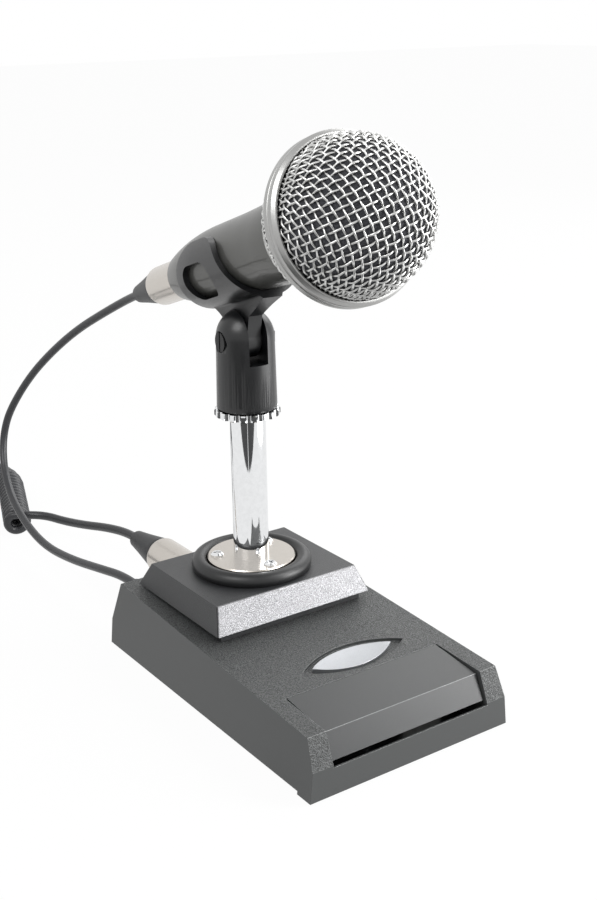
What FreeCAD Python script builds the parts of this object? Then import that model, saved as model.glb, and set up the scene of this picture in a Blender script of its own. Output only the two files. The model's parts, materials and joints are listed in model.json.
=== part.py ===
import FreeCAD, Part
import math
import os
import re
import Sketcher
from FreeCAD import Vector

# Desk microphone: press-to-talk base, chrome post, tilting clip, ball-headed microphone and its leads.
# Millimetres, +Z up, the front towards -Y, the origin on the desk under the middle of the base.

SIZES = {
    # housing of the base, seen from the side
    "base_half_width": 50.0,
    "side_draft": 0.10,
    "skirt_height": 0.6,
    "rim_height": 2.0,
    "skirt_length": 8.7,
    "front_foot": -80.7,
    "front_foot_height": 13.5,
    "front_top": -75.8,
    "front_top_height": 25.9,
    "rear_foot": 80.7,
    "rear_foot_height": 13.9,
    "rear_top": 73.4,
    "rear_top_height": 33.7,
    "wall": 2.5,
    "gap": 0.3,
    "running_gap": 0.05,
    "edge": 0.5,
    # bay of the talk bar
    "cheek_width": 11.1,
    "bay_rear": -48.8,
    "lip_height": 12.5,
    "lip_edge": 0.8,
    "lip_slope_drop": 3.0,
    # base plate, the pad under it, ballast
    "plate_height": 1.6,
    "plate_thickness": 1.2,
    "plate_margin": 0.5,
    "pad_inset": 11.2,
    "ballast_inset": 16.0,
    "ballast_front_gap": 24.8,
    "ballast_rear_gap": 22.7,
    "ballast_thickness": 12.0,
    "boss_radius": 3.6,
    "boss_inset": 8.0,
    "boss_front_gap": 4.8,
    "boss_rear_gap": 10.7,
    "base_screw_radius": 1.45,
    "base_screw_length": 9.0,
    "base_screw_head": 2.7,
    "base_screw_height": 1.1,
    # plinth under the post
    "plinth_top_half_width": 36.4,
    "plinth_top_front_reach": 29.35,
    "plinth_top_rear_reach": 27.36,
    "plinth_height": 11.1,
    "plinth_low_half_width": 40.0,
    "plinth_low_front_reach": 35.26,
    "plinth_low_rear_reach": 33.66,
    "plinth_lift": 2.5,
    "riser_inset": 3.4,
    "plinth_wall": 3.0,
    "front_plate_thickness": 0.9,
    "front_plate_margin": 0.5,
    # post and its flange
    "post_y": 34.2,
    "post_radius": 7.95,
    "post_wall": 1.6,
    "post_length": 87.75,
    "flange_radius": 19.8,
    "flange_thickness": 5.2,
    "flange_chamfer": 0.5,
    "spigot_depth": 4.2,
    "cushion_tube": 3.6,
    "cushion_lift": 2.0,
    "flange_screw_circle": 15.4,
    "flange_screw_head": 3.0,
    "flange_screw_height": 1.3,
    "flange_screw_shank": 1.6,
    "flange_screw_length": 9.0,
    # scalloped lock ring
    "ring_drop": 17.6,
    "ring_thickness": 3.0,
    "ring_radius": 14.4,
    "ring_scallops": 18,
    "scallop_radius": 1.6,
    "scallop_circle": 14.6,
    # fork of the adapter
    "fork_foot_radius": 13.2,
    "fork_radius": 12.6,
    "dome_rise": 1.0,
    "slot_width": 8.8,
    "slot_depth": 9.3,
    "pivot_rise": 16.0,
    "swivel": -5.0,
    "insert_radius": 10.4,
    "insert_length": 17.0,
    "bolt_radius": 2.45,
    "bolt_head_radius": 4.3,
    "bolt_head_height": 2.6,
    "nut_across": 8.0,
    "nut_thickness": 3.0,
    "tongue_thickness": 6.4,
    "tongue_radius": 8.2,
    "tongue_front": 13.1,
    "tongue_rear": 14.0,
    "tongue_lean": 2.0,
    "washer_radius": 6.6,
    # the microphone's own axis, measured from the ball's band backwards
    "tilt": -17.7,
    "axis_height": 33.4,
    "band_reach": 100.9,
    "dome_radius": 29.9,
    "dome_length": 31.8,
    "mesh_thickness": 1.0,
    "band_lip": 2.3,
    "band_groove": 3.9,
    "band_width": 7.6,
    "band_bevel": 1.4,
    "band_edge": 0.6,
    "band_groove_depth": 1.2,
    "basket_centre": 5.5,
    "basket_step": 0.3,
    "collar_radius": 18.8,
    "collar_length": 6.4,
    "neck_radius": 17.6,
    "grip_radius": 16.5,
    "neck_length": 20.5,
    "grip_length": 15.0,
    "body_radius": 16.15,
    "body_length": 29.0,
    "tail_radius": 11.3,
    "tail_length": 45.4,
    "handle_wall": 2.2,
    "foam_thickness": 3.0,
    "capsule_radius": 12.0,
    "capsule_length": 22.0,
    "capsule_front": 2.0,
    "capsule_edge": 2.0,
    "mount_length": 9.0,
    "mount_wall": 1.8,
    "spigot_step": 1.9,
    "tail_bore_length": 24.0,
    # clip
    "clip_wall": 2.5,
    "clip_rear_reach": 21.5,
    "clip_rear_radius": 20.0,
    "clip_ear_reach": 8.5,
    "clip_ear_height": 10.0,
    "clip_ear_radius": 14.0,
    "clip_brow_reach": 21.2,
    "clip_brow_height": 1.8,
    "clip_front_reach": 30.9,
    "clip_chin_drop": 19.6,
    "clip_chin_depth": 2.4,
    "flare_radius": 12.0,
    "flare_start": 25.0,
    "flare_angle": 80.0,
    "clip_hole_length": 26.0,
    "clip_hole_height": 15.0,
    "clip_hole_reach": 0.5,
    "clip_hole_drop": 7.0,
    # plugs, their boots and what they go into
    "plug_radius": 9.4,
    "plug_length": 34.0,
    "nose_radius": 7.95,
    "nose_bore": 6.5,
    "nose_length": 16.0,
    "contact_radius": 1.2,
    "contact_circle": 4.2,
    "contact_length": 17.0,
    "contact_reach": 10.0,
    "contact_disc": 6.0,
    "latch_place": 8.0,
    "latch_length": 9.0,
    "latch_width": 4.6,
    "latch_rise": 0.9,
    "latch_travel": 0.6,
    "latch_pocket_floor": 0.6,
    "boot_start_radius": 8.8,
    "boot_waist_radius": 5.9,
    "boot_end_radius": 4.4,
    "boot_waist_place": 0.6,
    "boot_lip": 2.0,
    "boot_wall": 0.7,
    "mic_boot_length": 28.0,
    "output_boot_length": 25.5,
    "socket_height": 20.0,
    "socket_boss_rise": 1.3,
    "socket_reach": 4.5,
    "socket_flange_radius": 12.0,
    "socket_flange_thickness": 2.5,
    "socket_barrel_radius": 10.6,
    "socket_inside": 18.0,
    "rear_boss_margin": 0.6,
    "relief_inset": 18.0,
    "relief_height": 24.0,
    "relief_set_back": 0.7,
    "relief_radius": 4.6,
    "relief_stub_radius": 3.3,
    "relief_length": 8.0,
    "mic_lead_radius": 2.1,
    "output_lead_radius": 2.3,
    # talk bar
    "bar_side_gap": 0.8,
    "bar_front_inset": 1.7,
    "bar_brow_inset": 1.6,
    "bar_drop": 1.4,
    "bar_skin": 2.2,
    "bar_gap": 1.9,
    "hinge_depth": 2.9,
    "hinge_pin_radius": 1.0,
    "hinge_barrel_radius": 2.1,
    # lock slider
    "slider_place": 11.7,
    "slider_recess_half_length": 26.2,
    "slider_recess_half_width": 9.3,
    "slider_recess_depth": 1.4,
    "slider_recess_x": 3.8,
    "slider_half_length": 20.5,
    "slider_half_width": 7.0,
    "slider_rise": 0.5,
    "slider_x": 2.9,
    "slider_travel": 5.5,
    "slider_stem_width": 4.0,
    "slider_stem_length": 9.0,
    "slider_dish_radius": 200.0,
    "slider_dish_depth": 0.9,
    "slider_dot_radius": 0.9,
    "slider_screw_radius": 1.0,
    "slider_screw_length": 3.0,
    "slider_screw_head": 2.8,
    "slider_screw_height": 1.0,
    "retainer_half_width": 6.0,
    "retainer_thickness": 1.2,
    "retainer_overlap": 4.0,
    # works inside the base
    "board_height": 5.2,
    "board_thickness": 1.6,
    "board_side_gap": 5.9,
    "board_inset": 6.7,
    "board_length": 44.0,
    "spacer_radius": 2.6,
    "switch_x": 14.0,
    "press_place": 13.0,
    "switch_length": 19.8,
    "switch_width": 6.4,
    "switch_height": 8.6,
    "plunger_radius": 1.3,
    "plunger_rise": 1.6,
    "plunger_depth": 4.0,
    "presser_radius": 1.5,
    "spring_seat_radius": 3.6,
    "spring_seat_height": 21.0,
    "spring_radius": 2.6,
    "spring_wire_radius": 0.4,
    "spring_turns": 6,
    # jack plug on the far end of the output lead
    "jack_shell_radius": 8.0,
    "jack_shell_length": 34.0,
    "jack_boot_radius": 6.2,
    "jack_boot_length": 16.0,
    "jack_contact_radius": 3.175,
    "jack_contact_length": 30.4,
    "jack_sleeve_length": 22.0,
    "jack_x": -101.5,
    "jack_end": 120.0,
    # curly part of the output lead
    "curl_radius": 5.6,
    "curl_count": 45,
    "curl_pitch": 5.1,
    "curl_bend_pitch": 5.85,
    "curl_entry_pitch": 14.0,
    "curl_entry_fade": 0.3,
    "curl_straight": 62.0,
    "curl_bend_radius": 45.0,
    "curl_start_x": -30.7,
    "curl_start_y": 232.0,
    "curl_heading": 70.4,
}

# places and sizes that follow from those above
FOLLOWING = {
    "skirt_end": "front_foot + skirt_length",
    "bay_half_width": "base_half_width - cheek_width",
    "boss_x": "base_half_width - boss_inset",
    "boss_front": "bay_rear + boss_front_gap",
    "boss_rear": "rear_foot - boss_rear_gap",
    "ballast_half_width": "base_half_width - ballast_inset",
    "ballast_front": "bay_rear + ballast_front_gap",
    "ballast_rear": "rear_foot - ballast_rear_gap",
    "deck_slope": "(rear_top_height - front_top_height) / (rear_top - front_top)",
    "plinth_low_height": "front_top_height + (post_y - front_top) * deck_slope + plinth_lift",
    "plinth_top_height": "plinth_low_height + plinth_height",
    "plinth_low_front": "post_y - plinth_low_front_reach",
    "plinth_low_rear": "post_y + plinth_low_rear_reach",
    "plinth_top_front": "post_y - plinth_top_front_reach",
    "plinth_top_rear": "post_y + plinth_top_rear_reach",
    "flange_top": "plinth_top_height + flange_thickness",
    "post_top": "flange_top - spigot_depth + post_length",
    "ring_base": "post_top - ring_drop",
    "pivot_height": "post_top + pivot_rise",
    "dome_centre": "pivot_height + dome_rise",
    "slot_floor": "pivot_height - slot_depth",
    "band_radius": "dome_radius + band_lip",
    "basket_radius": "dome_radius + basket_step",
    "basket_end": "basket_centre + sqrt(basket_radius ^ 2 - collar_radius ^ 2)",
    "collar_end": "basket_end + collar_length",
    "spigot_start": "basket_end + spigot_step",
    "grip_start": "collar_end + neck_length",
    "body_start": "grip_start + grip_length",
    "body_end": "body_start + body_length",
    "handle_end": "body_end + tail_length",
    "clip_rear": "band_reach + clip_rear_reach",
    "clip_ear_place": "band_reach - clip_ear_reach",
    "clip_brow_place": "band_reach - clip_brow_reach",
    "clip_low_front": "band_reach - clip_front_reach",
    "clip_hole_place": "band_reach + clip_hole_reach",
    "socket_seat": "rear_foot + socket_boss_rise",
    "socket_face": "socket_seat + socket_reach",
    "relief_x": "-(base_half_width - relief_inset)",
    "relief_seat": "rear_foot - relief_set_back",
    "bar_half_width": "bay_half_width - bar_side_gap",
    "bar_front": "front_foot + bar_front_inset",
    "bar_brow": "front_top + bar_brow_inset",
    "slider_y": "bay_rear + slider_place",
    "board_half_width": "bay_half_width - board_side_gap",
    "board_front": "front_foot + board_inset",
    "board_rear": "board_front + board_length",
    "press_y": "bar_front + press_place",
    "spring_x": "-switch_x",
}

doc = FreeCAD.newDocument("DeskMicrophone")
sheet = doc.addObject("Spreadsheet::Sheet", "Dimensions")
for row, (alias, value) in enumerate(SIZES.items(), 1):
    sheet.set(f"A{row}", alias)
    sheet.set(f"B{row}", str(value))
    sheet.setAlias(f"B{row}", alias)
doc.recompute()


def bound(formula):
    """The formula with each named size written as a cell of the sheet, and what follows written out."""
    def written(word):
        name = word[0]
        if name in FOLLOWING:
            return f"({bound(FOLLOWING[name])})"
        return f"Dimensions.{name}" if name in SIZES else name

    return re.sub(r"[a-z_]+", written, formula)


def number(formula):
    """What the formula comes to now."""
    value = sheet.evalExpression(bound(formula))
    return float(getattr(value, "Value", value))


def deck_height(y):
    """Formula for the height of the housing's sloping top at y."""
    return f"(front_top_height + ({y} - front_top) * deck_slope)"


# how far a cut runs on, past everything that it goes through
BEYOND = "300"


def bulge(half_length, rise):
    """Formula for the radius of an arc over twice the half length that stands out by the rise."""
    return f"((({half_length}) ^ 2 + ({rise}) ^ 2) / (2 * ({rise})))"


def at(x="0", y="0", z="0", axis="0; 0; 1", angle="0"):
    """Placement formula: moved to x, y, z and turned about axis."""
    return f"placement(vector({x}; {y}; {z}); rotation(vector({axis}); {angle}))"


# the swivelled fork, the tilted clip and the microphone's axis, each in its own frame
FORK = at("0", "post_y", "0", "0; 0; 1", "swivel")
CLIP = at("0", "post_y", "pivot_height", "0; 0; 1", "swivel") + " * " + at(axis="1; 0; 0", angle="tilt")
MIC = CLIP + " * " + at("0", "-band_reach", "axis_height")
POST = at("0", "post_y")
DECK = at("0", "slider_y", deck_height("slider_y"), "1; 0; 0", "atan(deck_slope)")


def place(shape, frame):
    shape.setExpression("Placement", bound(frame))
    return shape


def block(name, x, y, z):
    """Box between two formulas along each axis."""
    box = doc.addObject("Part::Box", name)
    for side, base, (low, high) in zip(("Length", "Width", "Height"), "xyz", (x, y, z)):
        box.setExpression(side, bound(f"({high}) - ({low})"))
        box.setExpression(f"Placement.Base.{base}", bound(low))
    return box


def rod(name, radius, length, frame):
    """Cylinder from the frame's origin along its +Z."""
    cylinder = doc.addObject("Part::Cylinder", name)
    cylinder.setExpression("Radius", bound(radius))
    cylinder.setExpression("Height", bound(length))
    return place(cylinder, frame)


def ball(name, radius, frame):
    solid = doc.addObject("Part::Sphere", name)
    solid.setExpression("Radius", bound(radius))
    return place(solid, frame)


def cut(name, base, *tools):
    tool = tools[0] if len(tools) == 1 else fuse(name + "_tools", *tools)
    result = doc.addObject("Part::Cut", name)
    result.Base = base
    result.Tool = tool
    return result


def fuse(name, *shapes):
    result = doc.addObject("Part::MultiFuse", name)
    result.Shapes = list(shapes)
    result.Refine = True
    return result


def common(name, *shapes):
    result = doc.addObject("Part::MultiCommon", name)
    result.Shapes = list(shapes)
    return result


def group(name, shapes):
    """Several like solids in one sub-part."""
    result = doc.addObject("Part::Compound", name)
    result.Links = list(shapes)
    return result


def sketch_on(body, name, plane, corners):
    """Closed outline through corners. A corner is (x, y) or (x, y, radius): a radius bends the side that
    starts there into an arc, which bulges to the right of the way along it, or to the left if the radius
    starts with a minus."""
    sketch = body.newObject("Sketcher::SketchObject", name)
    origin_plane = next(f for f in body.Origin.OriginFeatures if f.Role == plane)
    sketch.AttachmentSupport = [(origin_plane, "")]
    sketch.MapMode = "FlatFace"
    places = [Vector(number(c[0]), number(c[1]), 0) for c in corners]
    ends = []
    for i, corner in enumerate(corners):
        start, end = places[i], places[(i + 1) % len(corners)]
        if len(corner) == 2:
            sketch.addGeometry(Part.LineSegment(start, end), False)
            ends.append((1, 2))
            continue
        radius = number(corner[2])
        chord = end - start
        left = Vector(-chord.y, chord.x, 0).normalize()
        reach = math.sqrt(max(radius ** 2 - chord.Length ** 2 / 4, 0))
        centre = (start + end) * 0.5 + left * math.copysign(reach, radius)
        first, last = (start, end) if radius > 0 else (end, start)
        first_angle = math.atan2(first.y - centre.y, first.x - centre.x)
        last_angle = math.atan2(last.y - centre.y, last.x - centre.x)
        if last_angle < first_angle:
            last_angle += 2 * math.pi
        circle = Part.Circle(centre, Vector(0, 0, 1), abs(radius))
        sketch.addGeometry(Part.ArcOfCircle(circle, first_angle, last_angle), False)
        ends.append((1, 2) if radius > 0 else (2, 1))
    for i, corner in enumerate(corners):
        after = (i + 1) % len(corners)
        sketch.addConstraint(Sketcher.Constraint("Coincident", i, ends[i][1], after, ends[after][0]))
        spots = (("DistanceX", corner[0], places[i].x), ("DistanceY", corner[1], places[i].y))
        for kind, formula, now in spots:
            index = sketch.addConstraint(Sketcher.Constraint(kind, i, ends[i][0], now))
            sketch.setExpression(f"Constraints[{index}]", bound(formula))
        if len(corner) == 3:
            index = sketch.addConstraint(Sketcher.Constraint("Radius", i, abs(number(corner[2]))))
            sketch.setExpression(f"Constraints[{index}]", bound(f"abs({corner[2]})"))
    return sketch


def turned(name, axis, profile, frame=None):
    """Solid of revolution about Y or Z from (radius, place along the axis) corners."""
    body = doc.addObject("PartDesign::Body", name)
    sketch = sketch_on(body, name + "_profile", "XY_Plane" if axis == "Y" else "XZ_Plane", profile)
    turn = body.newObject("PartDesign::Revolution", name + "_turn")
    turn.Profile = sketch
    turn.ReferenceAxis = (sketch, ["V_Axis"])
    turn.Angle = 360
    return place(body, frame) if frame else body


def prism(name, plane, outline, low, high, frame=None):
    """Outline in YZ, XZ or XY, drawn out from low to high along the third axis."""
    body = doc.addObject("PartDesign::Body", name)
    sketch = sketch_on(body, name + "_outline", plane + "_Plane", outline)
    start = f"-({high})" if plane == "XZ" else low
    sketch.setExpression("AttachmentOffset.Base.z", bound(start))
    pad = body.newObject("PartDesign::Pad", name + "_pad")
    pad.Profile = sketch
    pad.setExpression("Length", bound(f"({high}) - ({low})"))
    return place(body, frame) if frame else body


nodes = {}


def node(name, shape):
    """The shape becomes the sub-part of that name."""
    shape.Label = name
    nodes[name] = shape
    return shape


def drafted(name, side, low, high, half_low, half_high):
    """The side outline in YZ, narrowed upwards from half_low at low to half_high at high."""
    slab = prism(name + "_side", "YZ", side, f"-{BEYOND}", BEYOND)
    front = [(f"-({half_low})", low), (half_low, low), (half_high, high), (f"-({half_high})", high)]
    wedge = prism(name + "_front", "XZ", front, f"-{BEYOND}", BEYOND)
    return common(name, slab, wedge)


def cross_screw(name, head_radius, head_height, shank_radius, shank_length, frame):
    """Cross-head screw: the head's underside is at the frame's origin, the shank goes down."""
    head = turned(name + "_solid", "Z", [
        ("0", f"-({shank_length})"),
        (shank_radius, f"-({shank_length})"),
        (shank_radius, "0"),
        (head_radius, "0"),
        (head_radius, f"({head_height}) * 0.45"),
        (f"({head_radius}) * 0.72", head_height),
        ("0", head_height),
    ])
    arm, half = f"({head_radius}) * 0.55", f"({head_radius}) * 0.14"
    depth = (f"({head_height}) * 0.3", BEYOND)
    recess = [
        block(name + "_slot_x", (f"-({arm})", arm), (f"-({half})", half), depth),
        block(name + "_slot_y", (f"-({half})", half), (f"-({arm})", arm), depth),
    ]
    return place(cut(name, head, *recess), frame)


# Housing: an open-bottomed moulding with a sloping deck
DRAFT_TOP = "(rear_top_height + wall)"
TOP_HALF = f"(base_half_width - side_draft * {DRAFT_TOP})"
housing_outer = drafted("housing_outer", [
    ("front_foot", "skirt_height"),
    ("skirt_end", "skirt_height"),
    ("skirt_end", "rim_height"),
    ("rear_foot", "rim_height"),
    ("rear_foot", "rear_foot_height"),
    ("rear_top", "rear_top_height"),
    ("front_top", "front_top_height"),
    ("front_foot", "front_foot_height"),
], "0", DRAFT_TOP, "base_half_width", TOP_HALF)
INNER_HALF_LOW = "base_half_width - wall"
INNER_HALF_TOP = f"{TOP_HALF} - wall"
housing_inner = drafted("housing_inner", [
    ("front_foot + wall", "-wall"),
    ("rear_foot - wall", "-wall"),
    ("rear_foot - wall", "rear_foot_height - wall * 0.2"),
    ("rear_top - wall * 0.7", "rear_top_height - wall * 1.1"),
    ("front_top + wall * 0.7", "front_top_height - wall"),
    ("front_foot + wall", "front_foot_height - wall * 0.2"),
], "-wall", DRAFT_TOP, f"{INNER_HALF_LOW} + side_draft * wall", INNER_HALF_TOP)
FLOOR_TOP = "plate_height + plate_thickness"
bay = block("bay", ("-bay_half_width", "bay_half_width"), (f"-{BEYOND}", "bay_rear"), ("lip_height", BEYOND))
lip_slope = prism("lip_slope", "YZ", [
    ("front_foot + lip_edge", "lip_height"),
    ("front_foot + wall + gap", "lip_height"),
    ("front_foot + wall + gap", "lip_height - lip_slope_drop"),
], "-bay_half_width", "bay_half_width")
cheek_profile = [
    ("front_foot + wall * 0.4", FLOOR_TOP),
    ("bay_rear + wall", FLOOR_TOP),
    ("bay_rear + wall", deck_height("bay_rear + wall") + " - wall * 0.4"),
    ("front_top", "front_top_height - wall * 0.4"),
    ("front_foot + wall * 0.4", "front_foot_height"),
]
cheeks = [
    prism("cheek_left_wall", "YZ", cheek_profile, "-bay_half_width - wall", "-bay_half_width"),
    prism("cheek_right_wall", "YZ", cheek_profile, "bay_half_width", "bay_half_width + wall"),
]


def rod_between(name, radius, low, high, x, y):
    return rod(name, radius, f"({high}) - ({low})", at(x, y, low))


BOSSES = [
    (f"{side_x}boss_x", end)
    for side_x in ("-", "") for end in ("boss_front", "boss_rear")
]
boss_rods = [
    rod_between(f"boss_{i}", "boss_radius", FLOOR_TOP, deck_height(y) + " - wall * 0.5", x, y)
    for i, (x, y) in enumerate(BOSSES)
]
boss_bores = [
    rod_between(f"boss_bore_{i}", "base_screw_radius + running_gap", FLOOR_TOP,
                "plate_height + base_screw_length + 2", x, y)
    for i, (x, y) in enumerate(BOSSES)
]


def lens(name, half_length, half_width, x, low, high, frame):
    """Pointed oval between two arcs, drawn out from low to high."""
    radius = bulge(half_length, half_width)
    outline = [
        (f"{x} - ({half_length})", "0", radius),
        (f"{x} + ({half_length})", "0", radius),
    ]
    return prism(name, "XY", outline, low, high, frame)


slider_recess = lens("slider_recess", "slider_recess_half_length", "slider_recess_half_width",
                     "slider_recess_x", "-slider_recess_depth", BEYOND, DECK)
STEM_LOW = "slider_x - slider_stem_length / 2"
STEM_HIGH = "slider_x + slider_stem_length / 2"
STEM_HALF = "slider_stem_width / 2"
slider_slot = prism("slider_slot", "XY", [
    (f"{STEM_LOW} - gap", f"-{STEM_HALF} - gap"),
    (f"{STEM_HIGH} + slider_travel + gap", f"-{STEM_HALF} - gap"),
    (f"{STEM_HIGH} + slider_travel + gap", f"{STEM_HALF} + gap"),
    (f"{STEM_LOW} - gap", f"{STEM_HALF} + gap"),
], "-wall * 2", BEYOND, DECK)
HINGE_Y = "(bay_rear - hinge_barrel_radius - gap)"
HINGE_Z = "(" + deck_height(HINGE_Y) + " - hinge_depth)"
pin_hole = rod("pin_hole", "hinge_pin_radius", "2 * bay_half_width + wall * 1.2",
               at("-bay_half_width - wall * 0.6", HINGE_Y, HINGE_Z, "0; 1; 0", "90"))
REAR_BOSS_START = "rear_top - wall * 1.5"


def rear_rod(name, radius, x, height, start, end):
    """Cylinder that points backwards from start to end."""
    return rod(name, radius, f"({end}) - ({start})", at(x, start, height, "-1; 0; 0", "90"))


rear_bosses = [
    rear_rod("socket_boss", "socket_flange_radius + rear_boss_margin", "0", "socket_height",
             REAR_BOSS_START, "socket_seat"),
    rear_rod("relief_boss", "relief_radius + rear_boss_margin", "relief_x", "relief_height",
             REAR_BOSS_START, "relief_seat"),
]
rear_holes = [
    rear_rod("socket_hole", "plug_radius + running_gap", "0", "socket_height", "0", BEYOND),
    rear_rod("relief_hole", "relief_stub_radius + running_gap", "relief_x", "relief_height", "0", BEYOND),
]
shell = cut("housing_shell", housing_outer, housing_inner)
housing_body = common("housing_trimmed", fuse("housing_body", shell, *cheeks, *boss_rods), housing_outer)
node("housing", cut("housing", fuse("housing_blank", housing_body, *rear_bosses), bay, lip_slope, *boss_bores,
                    slider_recess, slider_slot, pin_hole, *rear_holes))

# Base plate with its screws and the non-slip pad that the base stands on
PLATE_HALF = "(base_half_width - wall - plate_margin)"
plate = block("base_plate_blank", (f"-{PLATE_HALF}", PLATE_HALF),
              ("front_foot + wall + gap", "rear_foot - wall - gap"),
              ("plate_height", "plate_height + plate_thickness"))
plate_holes = [
    rod_between(f"plate_hole_{i}", "base_screw_radius + running_gap", f"-{BEYOND}", BEYOND, x, y)
    for i, (x, y) in enumerate(BOSSES)
]
node("base_plate", cut("base_plate", plate, *plate_holes))
node("rubber_pad", block("rubber_pad", (f"-{PLATE_HALF} + pad_inset", f"{PLATE_HALF} - pad_inset"),
                         ("front_foot + wall + gap + pad_inset", "rear_foot - wall - gap - pad_inset"),
                         ("0", "plate_height")))
node("base_screws", group("base_screws", [
    cross_screw(f"base_screw_{i}", "base_screw_head", "base_screw_height", "base_screw_radius",
                "base_screw_length", at(x, y, "plate_height", "1; 0; 0", "180"))
    for i, (x, y) in enumerate(BOSSES)
]))
node("ballast_weight", block("ballast_weight", ("-ballast_half_width", "ballast_half_width"),
                             ("ballast_front", "ballast_rear"),
                             (FLOOR_TOP, FLOOR_TOP + " + ballast_thickness")))

# Plinth on the deck and the sparkling plate on its front
plinth_side = [
    ("plinth_low_front", "plinth_low_height"),
    ("plinth_low_rear", "plinth_low_height"),
    ("plinth_top_rear", "plinth_top_height"),
    ("plinth_top_front", "plinth_top_height"),
]
plinth_outer = drafted("plinth_outer", plinth_side, "plinth_low_height", "plinth_top_height",
                       "plinth_low_half_width", "plinth_top_half_width")
RISER_FRONT = "plinth_low_front + riser_inset"
RISER_REAR = "plinth_low_rear - riser_inset"
plinth_riser = prism("plinth_riser", "YZ", [
    (RISER_FRONT, deck_height(RISER_FRONT)),
    (RISER_REAR, deck_height(RISER_REAR)),
    (RISER_REAR, "plinth_low_height + edge"),
    (RISER_FRONT, "plinth_low_height + edge"),
], "-plinth_low_half_width + riser_inset", "plinth_low_half_width - riser_inset")
plate_seat = prism("front_plate_seat", "YZ", [
    ("plinth_low_front - edge", "plinth_low_height"),
    ("plinth_low_front + front_plate_thickness", "plinth_low_height"),
    ("plinth_top_front + front_plate_thickness", "plinth_top_height"),
    ("plinth_low_front - edge", "plinth_top_height"),
], f"-{BEYOND}", BEYOND)
plinth_hollow = block("plinth_hollow",
                      ("-plinth_top_half_width + plinth_wall", "plinth_top_half_width - plinth_wall"),
                      ("plinth_top_front + plinth_wall + front_plate_thickness",
                       "plinth_top_rear - plinth_wall"),
                      ("0", "plinth_top_height - plinth_wall"))
FLANGE_SCREWS = [
    at("0", "post_y", "flange_top", angle=str(angle)) + " * " + at("flange_screw_circle")
    for angle in (30, 150, 270)
]
flange_bores = [
    rod(f"flange_bore_{i}", "flange_screw_shank + running_gap", f"2 * {BEYOND}",
        frame + " * " + at("0", "0", f"-{BEYOND}"))
    for i, frame in enumerate(FLANGE_SCREWS)
]
plinth_solid = fuse("plinth_solid", plinth_outer, plinth_riser)
node("plinth", cut("plinth", plinth_solid, plate_seat, plinth_hollow, *flange_bores))
plate_slab = prism("front_plate_slab", "YZ", [
    ("plinth_low_front", "plinth_low_height"),
    ("plinth_low_front + front_plate_thickness", "plinth_low_height"),
    ("plinth_top_front + front_plate_thickness", "plinth_top_height"),
    ("plinth_top_front", "plinth_top_height"),
], f"-{BEYOND}", BEYOND)
plate_width = prism("front_plate_width", "XZ", [
    ("-plinth_low_half_width + front_plate_margin", "plinth_low_height"),
    ("plinth_low_half_width - front_plate_margin", "plinth_low_height"),
    ("plinth_top_half_width - front_plate_margin", "plinth_top_height"),
    ("-plinth_top_half_width + front_plate_margin", "plinth_top_height"),
], f"-{BEYOND}", BEYOND)
node("plinth_front_plate", common("plinth_front_plate", plate_slab, plate_width))

# Flange, its cushion ring and the post
flange_blank = turned("flange_blank", "Z", [
    ("0", "plinth_top_height"),
    ("flange_radius", "plinth_top_height"),
    ("flange_radius", "flange_top - flange_chamfer"),
    ("flange_radius - flange_chamfer", "flange_top"),
    ("0", "flange_top"),
], POST)
spigot_hole = rod("spigot_hole", "post_radius", BEYOND, at("0", "post_y", "flange_top - spigot_depth"))
node("post_flange", cut("post_flange", flange_blank, spigot_hole, *flange_bores))
node("flange_screws", group("flange_screws", [
    cross_screw(f"flange_screw_{i}", "flange_screw_head", "flange_screw_height", "flange_screw_shank",
                "flange_screw_length", frame)
    for i, frame in enumerate(FLANGE_SCREWS)
]))
torus = doc.addObject("Part::Torus", "cushion_torus")
torus.setExpression("Radius1", bound("flange_radius + running_gap + cushion_tube"))
torus.setExpression("Radius2", bound("cushion_tube"))
place(torus, at("0", "post_y", "plinth_top_height + cushion_lift"))
torus_slab = block("cushion_slab", (f"-{BEYOND}", BEYOND), (f"-{BEYOND}", BEYOND),
                   ("plinth_top_height", BEYOND))
node("cushion_ring", common("cushion_ring", torus, torus_slab))
node("post", turned("post", "Z", [
    ("post_radius - post_wall", "flange_top - spigot_depth"),
    ("post_radius", "flange_top - spigot_depth"),
    ("post_radius", "post_top - edge"),
    ("post_radius - edge", "post_top"),
    ("post_radius - post_wall", "post_top"),
], POST))

# Scalloped lock ring under the fork
ring = turned("lock_ring", "Z", [
    ("post_radius + running_gap", "ring_base"),
    ("ring_radius - edge", "ring_base"),
    ("ring_radius", "ring_base + edge"),
    ("ring_radius", "ring_base + ring_thickness - edge"),
    ("ring_radius - edge", "ring_base + ring_thickness"),
    ("post_radius + running_gap", "ring_base + ring_thickness"),
], POST)
ring_plane = next(f for f in ring.Origin.OriginFeatures if f.Role == "XY_Plane")
scallop_sketch = ring.newObject("Sketcher::SketchObject", "scallop_outline")
scallop_sketch.AttachmentSupport = [(ring_plane, "")]
scallop_sketch.MapMode = "FlatFace"
scallop_centre = Vector(number("scallop_circle"), 0, 0)
scallop_sketch.addGeometry(Part.Circle(scallop_centre, Vector(0, 0, 1), number("scallop_radius")), False)
scallop_sketch.addConstraint(Sketcher.Constraint("Radius", 0, number("scallop_radius")))
scallop_sketch.setExpression("Constraints[0]", bound("scallop_radius"))
scallop_sketch.addConstraint(Sketcher.Constraint("DistanceX", 0, 3, number("scallop_circle")))
scallop_sketch.setExpression("Constraints[1]", bound("scallop_circle"))
scallop_sketch.addConstraint(Sketcher.Constraint("PointOnObject", 0, 3, -1))
doc.recompute()
scallop = ring.newObject("PartDesign::Pocket", "scallop")
scallop.Profile = scallop_sketch
scallop.Type = "Length"
scallop.Reversed = True
scallop.setExpression("Length", bound(BEYOND))
scallops = ring.newObject("PartDesign::PolarPattern", "scallops")
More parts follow.
